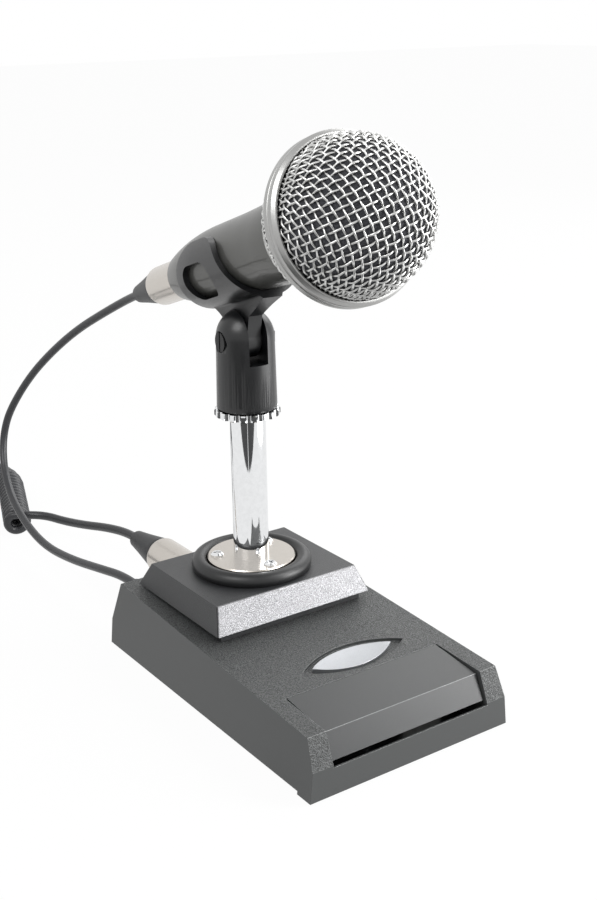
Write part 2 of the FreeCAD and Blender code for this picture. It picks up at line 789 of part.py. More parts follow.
scallops.Originals = [scallop]
scallops.Axis = (scallop_sketch, ["N_Axis"])
scallops.Angle = 360
scallops.setExpression("Occurrences", bound("ring_scallops"))
ring.Tip = scallops
node("lock_ring", ring)

# Fork of the adapter, its brass insert, bolt, nut and washers
FORK_FOOT = "ring_base + ring_thickness + gap"
fork_blank = turned("fork_blank", "Z", [
    ("0", FORK_FOOT),
    ("fork_foot_radius - edge", FORK_FOOT),
    ("fork_foot_radius", FORK_FOOT + " + edge"),
    ("fork_radius", "dome_centre", "fork_radius"),
    ("0", "dome_centre + fork_radius"),
])
fork_bore = rod_between("fork_bore", "insert_radius", "0", FORK_FOOT + " + insert_length", "0", "0")
fork_slot = block("fork_slot", ("-slot_width / 2", "slot_width / 2"), (f"-{BEYOND}", BEYOND),
                  ("slot_floor", BEYOND))
SEAT_X = "(fork_radius - bolt_head_height)"


def across(x):
    """Placement formula at x on the pivot's axis, with +Z turned to +X."""
    return at(x, "0", "pivot_height", "0; 1; 0", "90")


bolt_hole = rod("bolt_hole", "bolt_radius + running_gap", f"2 * {BEYOND}", across(f"-{BEYOND}"))
head_hole = rod("head_hole", "bolt_head_radius + gap", BEYOND, across(f"-{SEAT_X} - {BEYOND}"))


def hexagon(name, flats, low, high, frame):
    """Six-sided prism, measured across its flats."""
    reach = f"({flats}) / 2 / cos(30)"
    corners = [(f"{reach} * cos({60 * i})", f"{reach} * sin({60 * i})") for i in range(6)]
    return prism(name, "XY", corners, low, high, frame)


NUT_SEAT = "(fork_radius - nut_thickness)"
nut_hole = hexagon("nut_hole", "nut_across + gap", "0", BEYOND, across(NUT_SEAT))
node("fork", place(cut("fork", fork_blank, fork_bore, fork_slot, bolt_hole, head_hole, nut_hole), FORK))
node("thread_insert", turned("thread_insert", "Z", [
    ("post_radius + running_gap", FORK_FOOT),
    ("insert_radius", FORK_FOOT),
    ("insert_radius", FORK_FOOT + " + insert_length"),
    ("post_radius + running_gap", FORK_FOOT + " + insert_length"),
], FORK))
BOLT_END = "2 * fork_radius - bolt_head_height - gap"
bolt_body = turned("pivot_bolt_body", "Z", [
    ("0", "-bolt_head_height + gap"),
    ("bolt_head_radius", "-bolt_head_height + gap"),
    ("bolt_head_radius", "0"),
    ("bolt_radius", "0"),
    ("bolt_radius", BOLT_END),
    ("0", BOLT_END),
])
bolt_slot = block("pivot_bolt_slot", (f"-{BEYOND}", BEYOND), ("-edge", "edge"),
                  (f"-{BEYOND}", "-bolt_head_height / 2"))
node("pivot_bolt", place(cut("pivot_bolt", bolt_body, bolt_slot), FORK + " * " + across(f"-{SEAT_X}")))
nut_blank = hexagon("nut_blank", "nut_across", "0", "nut_thickness - gap", at())
nut_bore = rod("nut_bore", "bolt_radius + running_gap", f"2 * {BEYOND}", at("0", "0", f"-{BEYOND}"))
node("pivot_nut", place(cut("pivot_nut", nut_blank, nut_bore), FORK + " * " + across(NUT_SEAT)))
WASHER_THICKNESS = "((slot_width - tongue_thickness) / 2)"
node("friction_washers", group("friction_washers", [
    turned(f"washer_{i}", "Z", [
        ("bolt_radius + running_gap", "0"),
        ("washer_radius", "0"),
        ("washer_radius", WASHER_THICKNESS),
        ("bolt_radius + running_gap", WASHER_THICKNESS),
    ], FORK + " * " + across(start))
    for i, start in enumerate(("-slot_width / 2", "tongue_thickness / 2"))
]))


# Outline of the microphone's handle, from the collar back to its end
TAIL_BULGE = bulge("handle_end - body_end", "body_radius - tail_radius")


def handle_outline(offset):
    """Corners of the handle's outside from its neck to its end, moved out by the offset."""
    reach = f"({TAIL_BULGE} + {offset})"
    end = f"(body_radius - {TAIL_BULGE} + sqrt({reach} ^ 2 - (handle_end - body_end) ^ 2))"
    return [
        (f"neck_radius + {offset}", "collar_end"),
        (f"grip_radius + {offset}", "grip_start"),
        (f"body_radius + {offset}", "body_start"),
        (f"body_radius + {offset}", "body_end", reach),
        (end, "handle_end"),
    ]


def sleeve(name, offset):
    """Solid of the handle's shape, made larger by the offset."""
    return turned(name, "Y", [("0", "collar_end"), *handle_outline(offset), ("0", "handle_end")])


# Clip: a cradle open at the top, on a tongue that stands in the fork's slot
cradle_side = prism("cradle_side", "YZ", [
    ("clip_low_front", f"-{BEYOND}"),
    ("clip_rear", f"-{BEYOND}"),
    ("clip_rear", "clip_ear_height - clip_rear_radius", "clip_rear_radius"),
    ("clip_rear - clip_rear_radius", "clip_ear_height"),
    ("clip_ear_place", "clip_ear_height", "clip_ear_radius"),
    ("clip_brow_place", "clip_brow_height"),
    ("clip_low_front", "-clip_chin_drop"),
], f"-{BEYOND}", BEYOND)
cradle = common("cradle", sleeve("cradle_outer", "gap + clip_wall"), cradle_side)
FLARE_X = "(tongue_thickness / 2 + flare_radius * (1 - cos(flare_angle)))"
FLARE_Z = "(-flare_start + flare_radius * sin(flare_angle))"
TONGUE_BASE = "(-axis_height - tongue_radius - edge)"
tongue_front = prism("tongue_front", "XZ", [
    ("-tongue_thickness / 2", TONGUE_BASE),
    ("tongue_thickness / 2", TONGUE_BASE),
    ("tongue_thickness / 2", "-flare_start", "-flare_radius"),
    (FLARE_X, FLARE_Z),
    ("tongue_thickness", "-tongue_radius"),
    ("-tongue_thickness", "-tongue_radius"),
    (f"-{FLARE_X}", FLARE_Z, "-flare_radius"),
    ("-tongue_thickness / 2", "-flare_start"),
], f"-{BEYOND}", BEYOND)
tongue_side = prism("tongue_side", "YZ", [
    ("band_reach - tongue_radius", "-axis_height", "tongue_radius"),
    ("band_reach", "-axis_height - tongue_radius", "tongue_radius"),
    ("band_reach + tongue_radius", "-axis_height"),
    ("band_reach + tongue_radius + tongue_lean", "-axis_height + tongue_radius"),
    ("band_reach + tongue_rear", "-axis_height / 2"),
    ("band_reach + tongue_rear", "-tongue_radius"),
    ("(clip_low_front + clip_brow_place) / 2", "(clip_brow_height - clip_chin_drop) / 2"),
    ("clip_low_front", "-clip_chin_drop"),
    ("clip_low_front + tongue_radius", "-clip_chin_drop - clip_chin_depth"),
    ("band_reach - tongue_front", "-axis_height + tongue_radius"),
], f"-{BEYOND}", BEYOND)
HOLE_END = "(clip_hole_length / 2 - clip_hole_height / 2)"
clip_hole = prism("clip_hole", "YZ", [
    (f"clip_hole_place - {HOLE_END}", "-clip_hole_drop - clip_hole_height / 2"),
    (f"clip_hole_place + {HOLE_END}", "-clip_hole_drop - clip_hole_height / 2", "clip_hole_height / 2"),
    ("clip_hole_place + clip_hole_length / 2", "-clip_hole_drop", "clip_hole_height / 2"),
    (f"clip_hole_place + {HOLE_END}", "-clip_hole_drop + clip_hole_height / 2"),
    (f"clip_hole_place - {HOLE_END}", "-clip_hole_drop + clip_hole_height / 2", "clip_hole_height / 2"),
    ("clip_hole_place - clip_hole_length / 2", "-clip_hole_drop", "clip_hole_height / 2"),
], f"-{BEYOND}", BEYOND)
pivot_bore = rod("pivot_bore", "bolt_radius + running_gap", f"2 * {BEYOND}",
                 at(f"-{BEYOND}", "band_reach", "-axis_height", "0; 1; 0", "90"))
clip_solid = fuse("clip_solid", cradle, common("tongue", tongue_front, tongue_side))
cradle_bore = sleeve("cradle_bore", "gap")
node("clip", place(cut("clip", clip_solid, cradle_bore, clip_hole, pivot_bore), MIC))

# Ball of the microphone: two mesh shells held by a band, on a collar


def dome_shell(name, outer, tip, thickness):
    """Dome in front of the band, one arc from its tip to its rim, with a straight skirt in the band."""
    inner, inner_tip = f"({outer} - {thickness})", f"({tip} - {thickness})"
    return turned(name, "Y", [
        ("0", f"-({tip})", bulge(outer, tip)),
        (outer, "0"),
        (outer, "band_groove"),
        (inner, "band_groove"),
        (inner, "0", "-" + bulge(inner, inner_tip)),
        ("0", f"-{inner_tip}"),
    ], MIC)


node("grille_front", dome_shell("grille_front", "dome_radius", "dome_length", "mesh_thickness"))
node("foam_liner", dome_shell("foam_liner", "(dome_radius - mesh_thickness - gap)",
                              "(dome_length - mesh_thickness - gap)", "foam_thickness"))
node("grille_band", turned("grille_band", "Y", [
    ("dome_radius + running_gap", "0"),
    ("band_radius - band_bevel", "0"),
    ("band_radius", "band_bevel"),
    ("band_radius", "band_groove - band_edge"),
    ("band_radius - band_groove_depth", "band_groove"),
    ("band_radius", "band_groove + band_edge"),
    ("band_radius", "band_width - band_edge"),
    ("band_radius - band_edge", "band_width"),
    ("basket_radius + running_gap", "band_width"),
    ("basket_radius + running_gap", "band_groove"),
    ("dome_radius + running_gap", "band_groove"),
], MIC))
BASKET_INNER = "(basket_radius - mesh_thickness)"
BASKET_INNER_END = f"sqrt({BASKET_INNER} ^ 2 - (basket_end - basket_centre) ^ 2)"
node("grille_rear", turned("grille_rear", "Y", [
    (BASKET_INNER, "band_groove"),
    ("basket_radius", "band_groove"),
    ("basket_radius", "basket_centre", "basket_radius"),
    ("collar_radius", "basket_end"),
    (BASKET_INNER_END, "basket_end", f"-{BASKET_INNER}"),
    (BASKET_INNER, "basket_centre"),
], MIC))
SPIGOT_RADIUS = "(neck_radius - handle_wall)"
node("grille_collar", turned("grille_collar", "Y", [
    (f"{SPIGOT_RADIUS} + running_gap", "basket_end"),
    ("collar_radius", "basket_end"),
    ("collar_radius", "collar_end - 2 * edge"),
    ("neck_radius + gap", "collar_end"),
    (f"{SPIGOT_RADIUS} + running_gap", "collar_end"),
], MIC))

# Handle, the capsule in front of it and its rubber mount
HANDLE_BORE = "(body_radius - 1.5 * handle_wall)"
TAIL_BORE = "(nose_radius + running_gap)"
node("mic_handle", turned("mic_handle", "Y", [
    (HANDLE_BORE, "spigot_start"),
    (SPIGOT_RADIUS, "spigot_start"),
    (SPIGOT_RADIUS, "collar_end"),
    *handle_outline("0"),
    (TAIL_BORE, "handle_end"),
    (TAIL_BORE, "handle_end - tail_bore_length"),
    (HANDLE_BORE, "handle_end - tail_bore_length"),
], MIC))
node("capsule", turned("capsule", "Y", [
    ("0", "capsule_front"),
    ("capsule_radius - capsule_edge", "capsule_front"),
    ("capsule_radius", "capsule_front + capsule_edge"),
    ("capsule_radius", "capsule_front + capsule_length"),
    ("0", "capsule_front + capsule_length"),
], MIC))
CUP_RADIUS = "(capsule_radius + mount_wall)"
node("capsule_mount", turned("capsule_mount", "Y", [
    ("0", "capsule_front + capsule_length"),
    ("capsule_radius + running_gap", "capsule_front + capsule_length"),
    ("capsule_radius + running_gap", "capsule_front + capsule_length - mount_length"),
    (CUP_RADIUS, "capsule_front + capsule_length - mount_length"),
    (CUP_RADIUS, "spigot_start - mount_wall"),
    (SPIGOT_RADIUS, "spigot_start - mount_wall"),
    (SPIGOT_RADIUS, "spigot_start"),
    ("0", "spigot_start"),
], MIC))


# A plug, its boot and what it goes into, from its shoulder at y = 0 backwards
def pin_places(y):
    """Placements of the three contacts, pointing backwards from y."""
    return [
        at(f"contact_circle * cos({angle})", y, f"contact_circle * sin({angle})", "-1; 0; 0", "90")
        for angle in (30, 150, 270)
    ]


def contact_set(name, disc_radius, low, high, frame):
    """Plastic disc with the pins of a socket, which point backwards into the plug's nose."""
    disc = rod(name + "_disc", disc_radius, f"({high}) - ({low})", at("0", low, "0", "-1; 0; 0", "90"))
    holes = [
        rod(f"{name}_hole_{i}", "contact_radius", f"2 * {BEYOND}", spot)
        for i, spot in enumerate(pin_places(f"-{BEYOND}"))
    ]
    node(name + "_insert", place(cut(name + "_insert", disc, *holes), frame))
    node(name + "_pins", group(name + "_pins", [
        rod(f"{name}_pin_{i}", "contact_radius", "contact_length", f"{frame} * {spot}")
        for i, spot in enumerate(pin_places(f"({high}) - contact_length + contact_reach"))
    ]))


def cable_plug(name, boot_length, frame):
    """Shell with a latch button, the insert in it and the rubber boot on the lead."""
    blank = turned(name + "_blank", "Y", [
        ("nose_bore", "-nose_length"),
        ("nose_radius", "-nose_length"),
        ("nose_radius", "0"),
        ("plug_radius - edge", "0"),
        ("plug_radius", "edge"),
        ("plug_radius", "plug_length"),
        ("nose_bore", "plug_length"),
    ])
    pocket = block(name + "_pocket", ("nose_bore + latch_pocket_floor", BEYOND),
                   ("latch_place - gap", "latch_place + latch_length + gap"),
                   ("-latch_width / 2 - gap", "latch_width / 2 + gap"))
    node(name + "_shell", place(cut(name + "_shell", blank, pocket), frame))
    sockets = [
        rod(f"{name}_socket_{i}", "contact_radius + running_gap", "contact_reach + edge", spot)
        for i, spot in enumerate(pin_places("-nose_length"))
    ]
    core = rod(name + "_core", "nose_bore", "nose_length + plug_length - edge",
               at("0", "-nose_length + edge", "0", "-1; 0; 0", "90"))
    node(name + "_insert", place(cut(name + "_insert", core, *sockets), frame))
    waist = f"boot_waist_place * {boot_length}"
    node(name + "_boot", turned(name + "_boot", "Y", [
        ("0", "plug_length"),
        ("boot_start_radius", "plug_length"),
        ("boot_start_radius", "plug_length + boot_lip"),
        ("boot_waist_radius", f"plug_length + {waist}"),
        ("boot_end_radius", f"plug_length + {boot_length}"),
        ("0", f"plug_length + {boot_length}"),
    ], frame))
    inner = "nose_bore + latch_pocket_floor + latch_travel + gap"
    outer = "plug_radius + latch_rise"
    node(name + "_latch", prism(name + "_latch", "XY", [
        (inner, "latch_place"),
        (outer + " - edge", "latch_place"),
        (outer, "latch_place + edge"),
        (outer, "latch_place + latch_length - edge"),
        (outer + " - edge", "latch_place + latch_length"),
        (inner, "latch_place + latch_length"),
    ], "-latch_width / 2", "latch_width / 2", frame))


MIC_PLUG = MIC + " * " + at("0", "handle_end")
OUTPUT_PLUG = at("0", "socket_face", "socket_height")
contact_set("handle", "nose_radius", "-nose_length - contact_disc", "-nose_length", MIC_PLUG)
cable_plug("mic_plug", "mic_boot_length", MIC_PLUG)
contact_set("output_socket", "nose_radius", "-nose_length - contact_disc", "-nose_length", OUTPUT_PLUG)
cable_plug("output_plug", "output_boot_length", OUTPUT_PLUG)

# Socket on the back of the base for the output plug, and the strain relief of the microphone's lead
node("output_socket", turned("output_socket", "Y", [
    ("nose_radius + running_gap", "socket_seat - socket_inside"),
    ("plug_radius", "socket_seat - socket_inside"),
    ("plug_radius", "socket_seat"),
    ("socket_flange_radius", "socket_seat"),
    ("socket_flange_radius", "socket_seat + socket_flange_thickness"),
    ("socket_barrel_radius", "socket_seat + socket_flange_thickness"),
    ("socket_barrel_radius", "socket_face"),
    ("nose_radius + running_gap", "socket_face"),
], at("0", "0", "socket_height")))
node("lead_strain_relief", turned("lead_strain_relief", "Y", [
    ("0", "-wall * 2"),
    ("relief_stub_radius", "-wall * 2"),
    ("relief_stub_radius", "0"),
    ("relief_radius", "0"),
    ("relief_radius", "wall"),
    ("mic_lead_radius + boot_wall", "relief_length"),
    ("0", "relief_length"),
], at("relief_x", "relief_seat", "relief_height")))

# Talk bar, hinged along its rear edge
BAR_REAR = "bay_rear - gap"
BAR_LOW = "lip_height + bar_gap"
BAR_TOP = deck_height("bar_brow") + " - bar_drop"
bar_skin = prism("bar_skin_piece", "YZ", [
    ("bar_front", BAR_LOW),
    ("bar_front + bar_skin * 1.1", BAR_LOW),
    ("bar_brow + bar_skin * 0.8", BAR_TOP + " - bar_skin"),
    (HINGE_Y, deck_height(HINGE_Y) + " - bar_skin"),
    (BAR_REAR, deck_height(BAR_REAR) + " - bar_skin"),
    (BAR_REAR, deck_height(BAR_REAR)),
    ("bar_brow", BAR_TOP),
], "-bar_half_width", "bar_half_width")
BARREL_HALF = "bar_half_width - bar_skin"
HINGE_LINE = (HINGE_Y, HINGE_Z, "0; 1; 0", "90")
barrel = rod("bar_barrel", "hinge_barrel_radius", f"2 * ({BARREL_HALF})",
             at(f"-({BARREL_HALF})", *HINGE_LINE))
barrel_bore = rod("bar_bore", "hinge_pin_radius + running_gap", f"2 * {BEYOND}",
                  at(f"-{BEYOND}", *HINGE_LINE))
BOARD_TOP = "board_height + board_thickness"
PLUNGER_TOP = f"{BOARD_TOP} + switch_height + plunger_rise"
UNDER_BAR = deck_height("press_y") + " - bar_drop - bar_skin / 2"
presser = rod_between("bar_presser", "presser_radius", f"{PLUNGER_TOP} + 2 * running_gap", UNDER_BAR,
                      "switch_x", "press_y")
spring_seat = rod_between("bar_spring_seat", "spring_seat_radius", "spring_seat_height", UNDER_BAR,
                          "spring_x", "press_y")
bar_blank = fuse("talk_bar_blank", bar_skin, barrel, presser, spring_seat)
node("talk_bar", cut("talk_bar", bar_blank, barrel_bore))
PIN_HALF = "(bay_half_width + wall * 0.6)"
node("hinge_pin", rod("hinge_pin", "hinge_pin_radius", f"2 * {PIN_HALF}", at(f"-{PIN_HALF}", *HINGE_LINE)))

# Lock slider in its lens-shaped recess, held from below by a plate and a screw
slider_lens = lens("slider_lens", "slider_half_length", "slider_half_width", "slider_x",
                   "-slider_recess_depth", "slider_rise", at())
STEM_END = "-wall - gap - retainer_thickness"
slider_stem = block("slider_stem", (STEM_LOW, STEM_HIGH), (f"-{STEM_HALF}", STEM_HALF), (STEM_END, "0"))
slider_dish = ball("slider_dish", "slider_dish_radius",
                   at("slider_x", "0", "slider_rise - slider_dish_depth + slider_dish_radius"))
slider_dot = rod("slider_dot", "slider_dot_radius", BEYOND, at("slider_x - slider_half_length / 2"))
slider_bore = rod("slider_bore", "slider_screw_radius + running_gap", "slider_screw_length + edge",
                  at("slider_x", "0", STEM_END))
slider_blank = fuse("slider_blank", slider_lens, slider_stem)
node("lock_slider", place(cut("lock_slider", slider_blank, slider_dish, slider_dot, slider_bore), DECK))
retainer_plate = block("retainer_plate",
                       (f"{STEM_LOW} - retainer_overlap", f"{STEM_HIGH} + retainer_overlap"),
                       ("-retainer_half_width", "retainer_half_width"), (STEM_END, "-wall - gap"))
retainer_hole = block("retainer_hole", (f"{STEM_LOW} - running_gap", f"{STEM_HIGH} + running_gap"),
                      (f"-{STEM_HALF} - running_gap", f"{STEM_HALF} + running_gap"), (f"-{BEYOND}", BEYOND))
node("slider_retainer", place(cut("slider_retainer", retainer_plate, retainer_hole), DECK))
node("slider_screw", cross_screw("slider_screw", "slider_screw_head", "slider_screw_height",
                                 "slider_screw_radius", "slider_screw_length",
                                 DECK + " * " + at("slider_x", "0", STEM_END, "1; 0; 0", "180")))

# Works under the talk bar: the board on its spacers, the switch with its plunger, and the return spring
node("circuit_board", block("circuit_board", ("-board_half_width", "board_half_width"),
                            ("board_front", "board_rear"), ("board_height", BOARD_TOP)))
node("board_spacers", group("board_spacers", [
    rod_between(f"spacer_{i}", "spacer_radius", FLOOR_TOP, "board_height", x, y)
    for i, (x, y) in enumerate(
        (f"{side}(board_half_width - 2 * spacer_radius)", end)
        for side in ("-", "")
        for end in ("board_front + 2 * spacer_radius", "board_rear - 2 * spacer_radius"))
]))
switch_case = block("switch_case", ("switch_x - switch_length / 2", "switch_x + switch_length / 2"),
                    ("press_y - switch_width / 2", "press_y + switch_width / 2"),
                    (BOARD_TOP, f"{BOARD_TOP} + switch_height"))
switch_well = rod_between("switch_well", "plunger_radius + running_gap",
                          f"{BOARD_TOP} + switch_height - plunger_depth - plunger_rise", BEYOND,
                          "switch_x", "press_y")
node("press_switch", cut("press_switch", switch_case, switch_well))
node("switch_plunger", rod_between("switch_plunger", "plunger_radius",
                                   f"{BOARD_TOP} + switch_height - plunger_depth", PLUNGER_TOP,
                                   "switch_x", "press_y"))


def unit(vector):
    return Vector(vector).normalize()


def arc_between(start, way, end):
    """Arc from start to end that leaves start along the way."""
    along = unit(end - start)
    half_chord = (end - start).Length / 2
    bulge = half_chord * math.tan(way.getAngle(along) / 2)
    side = unit(way - along * way.dot(along))
    return Part.Arc(start, (start + end) * 0.5 + side * bulge, end).toShape()


def biarc(start, start_way, end, end_way):
    """Two arcs that join smoothly, from start to end along the two ways."""
    chord = end - start
    both = chord.dot(start_way + end_way)
    bend = 2 * (1 - start_way.dot(end_way))
    reach = (math.sqrt(both ** 2 + bend * chord.dot(chord)) - both) / bend
    joint = (start + start_way * reach + end - end_way * reach) * 0.5
    joint_way = unit((end - end_way * reach) - (start + start_way * reach))
    return [arc_between(start, start_way, joint), arc_between(joint, joint_way, end)]


def coil(frame_at, radius, turns):
    """Edges of a coil, two arcs for each half turn, and the functions for its line and its direction."""
    def spot(turn):
        centre, up, side = frame_at(turn)
        angle = 2 * math.pi * turn
        return centre + up * (radius * math.cos(angle)) + side * (radius * math.sin(angle))

    def way(turn):
        step = 1e-4
        return unit(spot(turn + step) - spot(turn - step))

    edges = []
    for half in range(2 * turns):
        start, end = half / 2, half / 2 + 0.5
        edges += biarc(spot(start), way(start), spot(end), way(end))
    return edges, spot, way


def least_gap(spot, turns, wire_radius):
    """Least gap of a coil's tube to itself, from points over half a turn to one and a half turns apart."""
    per_turn = 24
    points = [spot(step / per_turn) for step in range(per_turn * turns + 1)]
    nearest = min(
        (points[i] - points[j]).Length
        for i in range(len(points))
        for j in range(i + per_turn // 2 + 2, min(i + per_turn * 3 // 2, len(points)))
    )
    return nearest - 2 * wire_radius


def swept(edges, radius):
    """Round tube of the radius along the edges."""
    wire = Part.Wire(edges)
    first = wire.Edges[0]
    way = first.tangentAt(first.FirstParameter)
    ring = Part.Wire([Part.Circle(first.valueAt(first.FirstParameter), way, radius).toShape()])
    return wire.makePipeShell([ring], True, False), wire.Length


def feature(name, shape):
    result = doc.addObject("Part::Feature", name)
    result.Shape = shape
    return node(name, result)


def cord(name, points, radius):
    """Tube along straight runs, joined by arcs as large as the shorter run of each corner allows."""
    edges, radii, last = [], [], points[0]
    for before, corner, after in zip(points, points[1:], points[2:]):
        back, ahead = before - corner, after - corner
        half_turn = (math.pi - back.getAngle(ahead)) / 2
        reach = 0.45 * min(back.Length, ahead.Length)
        arc_radius = reach / math.tan(half_turn)
        start = corner + unit(back) * reach
        end = corner + unit(ahead) * reach
        edges += [Part.LineSegment(last, start).toShape(), arc_between(start, unit(corner - start), end)]
        radii.append(round(arc_radius, 1))
        last = end
    edges.append(Part.LineSegment(last, points[-1]).toShape())
    tube, length = swept(edges, radius)
    share = tube.Volume / (math.pi * radius ** 2 * length)
    print(f"{name}: length {length:.1f}, volume {share:.4f} of section times length, radii {radii}")
    return feature(name, tube)


def spot_in(frame, x, y, z):
    """The place in the desk's frame of a point of a sub-part's frame."""
    return sheet.evalExpression(bound(frame)).multVec(Vector(x, y, z))


def points_of(*places):
    return [Vector(*place) for place in places]


# The microphone's lead, in two stretches that meet at the back of its loop
BOOT_END = number("plug_length + mic_boot_length")
lead_start = spot_in(MIC_PLUG, 0, BOOT_END, 0)
lead_middle = Vector(-14.85, 251.55, 77.5)
loop_way = unit(Vector(-0.26, 0.555, -0.79))
relief_end = Vector(number("relief_x"), number("relief_seat + relief_length"), number("relief_height"))
mic_lead_radius = number("mic_lead_radius")
cord("mic_lead_upper", [
    lead_start,
    spot_in(MIC_PLUG, 0, BOOT_END + 12, 0),
    *points_of((6.2, 180.5, 134.0), (1.2, 204.0, 121.2), (-4.9, 225.5, 105.5)),
    lead_middle - loop_way * 13.5,
    lead_middle,
], mic_lead_radius)
cord("mic_lead_lower", [
    lead_middle,
    lead_middle + loop_way * 13.5,
    *points_of((-22.0, 262.4, 53.2), (-25.3, 258.8, 40.8), (-28.5, 249.4, 30.7), (-32.3, 232.4, 22.6),
               (-35.5, 208.0, 16.6), (-36.9, 180.0, 13.4), (-35.9, 150.0, 16.0), (-34.0, 120.0, 21.0)),
    relief_end + Vector(0, 12, 0),
    relief_end,
], mic_lead_radius)

# The output lead's curly part: its axis runs straight, turns back to the left and runs straight again
output_lead_radius = number("output_lead_radius")
curl_radius = number("curl_radius")
curl_count = int(number("curl_count"))
curl_pitch = number("curl_pitch")
curl_bend_pitch = number("curl_bend_pitch")
curl_straight = number("curl_straight")
curl_bend_radius = number("curl_bend_radius")
curl_entry_fade = number("curl_entry_fade")
curl_entry = (number("curl_entry_pitch") - curl_pitch) * curl_entry_fade
curl_start = Vector(number("curl_start_x"), number("curl_start_y"), curl_radius + output_lead_radius)
tight_turns = (curl_straight - curl_entry) / curl_pitch


def level(heading):
    """Level direction at the heading, in radians from +X."""
    return Vector(math.cos(heading), math.sin(heading), 0)


def curl_frame(turn):
    """Centre, up and left of the curly part after so many turns."""
    run = curl_pitch * min(turn, tight_turns) + curl_bend_pitch * max(turn - tight_turns, 0)
    run += curl_entry * (1 - math.exp(-turn / curl_entry_fade))
    run += curl_entry * math.exp((turn - curl_count) / curl_entry_fade)
    heading = math.radians(number("curl_heading"))
    bend = max(0, min(math.pi, (run - curl_straight) / curl_bend_radius))
    before = min(run, curl_straight)
    after = max(0, run - curl_straight - math.pi * curl_bend_radius)
    hub = curl_start + level(heading) * before + level(heading + math.pi / 2) * curl_bend_radius
    centre = hub - level(heading + bend + math.pi / 2) * curl_bend_radius + level(heading + bend) * after
    return centre, Vector(0, 0, 1), level(heading + bend + math.pi / 2)


curls, curl_spot, curl_way = coil(curl_frame, curl_radius, curl_count)
near_way, far_way = curl_way(0), curl_way(curl_count)
near_end = curl_spot(0) - near_way * (2 * output_lead_radius)
far_end = curl_spot(curl_count) + far_way * (2 * output_lead_radius)
curls.insert(0, Part.LineSegment(near_end, curl_spot(0)).toShape())
curls.append(Part.LineSegment(curl_spot(curl_count), far_end).toShape())
curly_tube, curly_length = swept(curls, output_lead_radius)
feature("curly_lead", curly_tube)
print(f"curly_lead: wire length {curly_length:.1f}, least gap to itself"
      f" {least_gap(curl_spot, curl_count, output_lead_radius):.2f}")

# The output lead's smooth ends and the plug on its far end, on the desk
output_start = spot_in(OUTPUT_PLUG, 0, number("plug_length + output_boot_length"), 0)
cord("output_lead", [
    output_start,
    output_start + Vector(0, 9.5, 0),
    *points_of((-3.4, 173.0, 18.2), (-8.2, 191.0, 15.0), (-12.9, 208.0, 13.0)),
    near_end - near_way * 12,
    near_end,
], output_lead_radius)
JACK = at("jack_x", "jack_end + jack_contact_length", "jack_shell_radius")
jack_entry = spot_in(JACK, 0, number("jack_shell_length + jack_boot_length"), 0)
cord("lead_tail", [
    far_end,
    far_end + far_way * 16,
    *points_of((-93.5, 239.0, 11.5), (-97.5, 223.0, 9.0)),
    jack_entry + Vector(0, 10, 0),
    jack_entry,
], output_lead_radius)
node("jack_boot", turned("jack_boot", "Y", [
    ("0", "jack_shell_length"),
    ("jack_boot_radius", "jack_shell_length"),
    ("output_lead_radius + boot_wall", "jack_shell_length + jack_boot_length"),
    ("0", "jack_shell_length + jack_boot_length"),
], JACK))
node("jack_shell", turned("jack_shell", "Y", [
    ("0", "0"),
    ("jack_shell_radius - 2 * edge", "0"),
    ("jack_shell_radius", "2 * edge"),
    ("jack_shell_radius", "jack_shell_length * 0.6"),
    ("jack_boot_radius + edge", "jack_shell_length"),
    ("0", "jack_shell_length"),
], JACK))
node("jack_contacts", turned("jack_contacts", "Y", [
    ("0", "-jack_contact_length"),
    ("jack_contact_radius * 0.5", "-jack_contact_length + 0.4"),
    ("jack_contact_radius * 0.9", "-jack_contact_length + 2.6"),
    ("jack_contact_radius * 0.6", "-jack_contact_length + 4.2"),
    ("jack_contact_radius", "-jack_contact_length + 6"),
    ("jack_contact_radius", "-jack_sleeve_length - 1"),
    ("jack_contact_radius * 0.9", "-jack_sleeve_length - 1"),
    ("jack_contact_radius * 0.9", "-jack_sleeve_length"),
    ("jack_contact_radius", "-jack_sleeve_length"),
    ("jack_contact_radius", "0"),
    ("0", "0"),
], JACK))

# Return spring between the board and the talk bar
spring_turns = int(number("spring_turns"))
spring_wire = number("spring_wire_radius")
spring_radius = number("spring_radius")
spring_low = number(BOARD_TOP) + spring_wire
spring_rise = (number("spring_seat_height") - spring_wire - spring_low) / spring_turns


def spring_frame(turn):
    centre = Vector(number("spring_x"), number("press_y"), spring_low + spring_rise * turn)
    return centre, Vector(0, 1, 0), Vector(-1, 0, 0)


spring_edges, spring_spot, spring_way = coil(spring_frame, spring_radius, spring_turns)
feature("bar_spring", swept(spring_edges, spring_wire)[0])

doc.recompute()
faults = [thing.Name for thing in doc.Objects if {"Invalid", "Error"} & set(thing.State)]
faults += [name for name, shape in nodes.items() if shape.Shape.isNull() or not shape.Shape.isValid()]
if faults:
    raise RuntimeError(f"These did not build: {faults}")
os.makedirs("parts", exist_ok=True)
for name, piece in nodes.items():
    shape = piece.Shape
    box = shape.BoundBox
    print(f"{name}: {len(shape.Solids)} solids, {shape.Volume:.0f} mm3, x {box.XMin:.1f} {box.XMax:.1f},"
          f" y {box.YMin:.1f} {box.YMax:.1f}, z {box.ZMin:.1f} {box.ZMax:.1f}")
    shape.exportStep(f"parts/{name}.step")
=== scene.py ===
# %% [markdown]
# # A press-to-talk desk microphone
#
# The object is a weighted base with a wide talk bar and a lock slider, a chrome post, a tilting clip, a
# ball-headed hand microphone and two leads. Its solid parts come from CAD, and this script dresses them: it
# gives each one its real surface, weaves the wire of the ball, lays the leads and lights the whole for a
# catalogue picture. Blender works in metres here, the CAD in millimetres, and both share one frame: +Z is
# up, the front points towards -Y, and the origin is on the desk under the middle of the base.

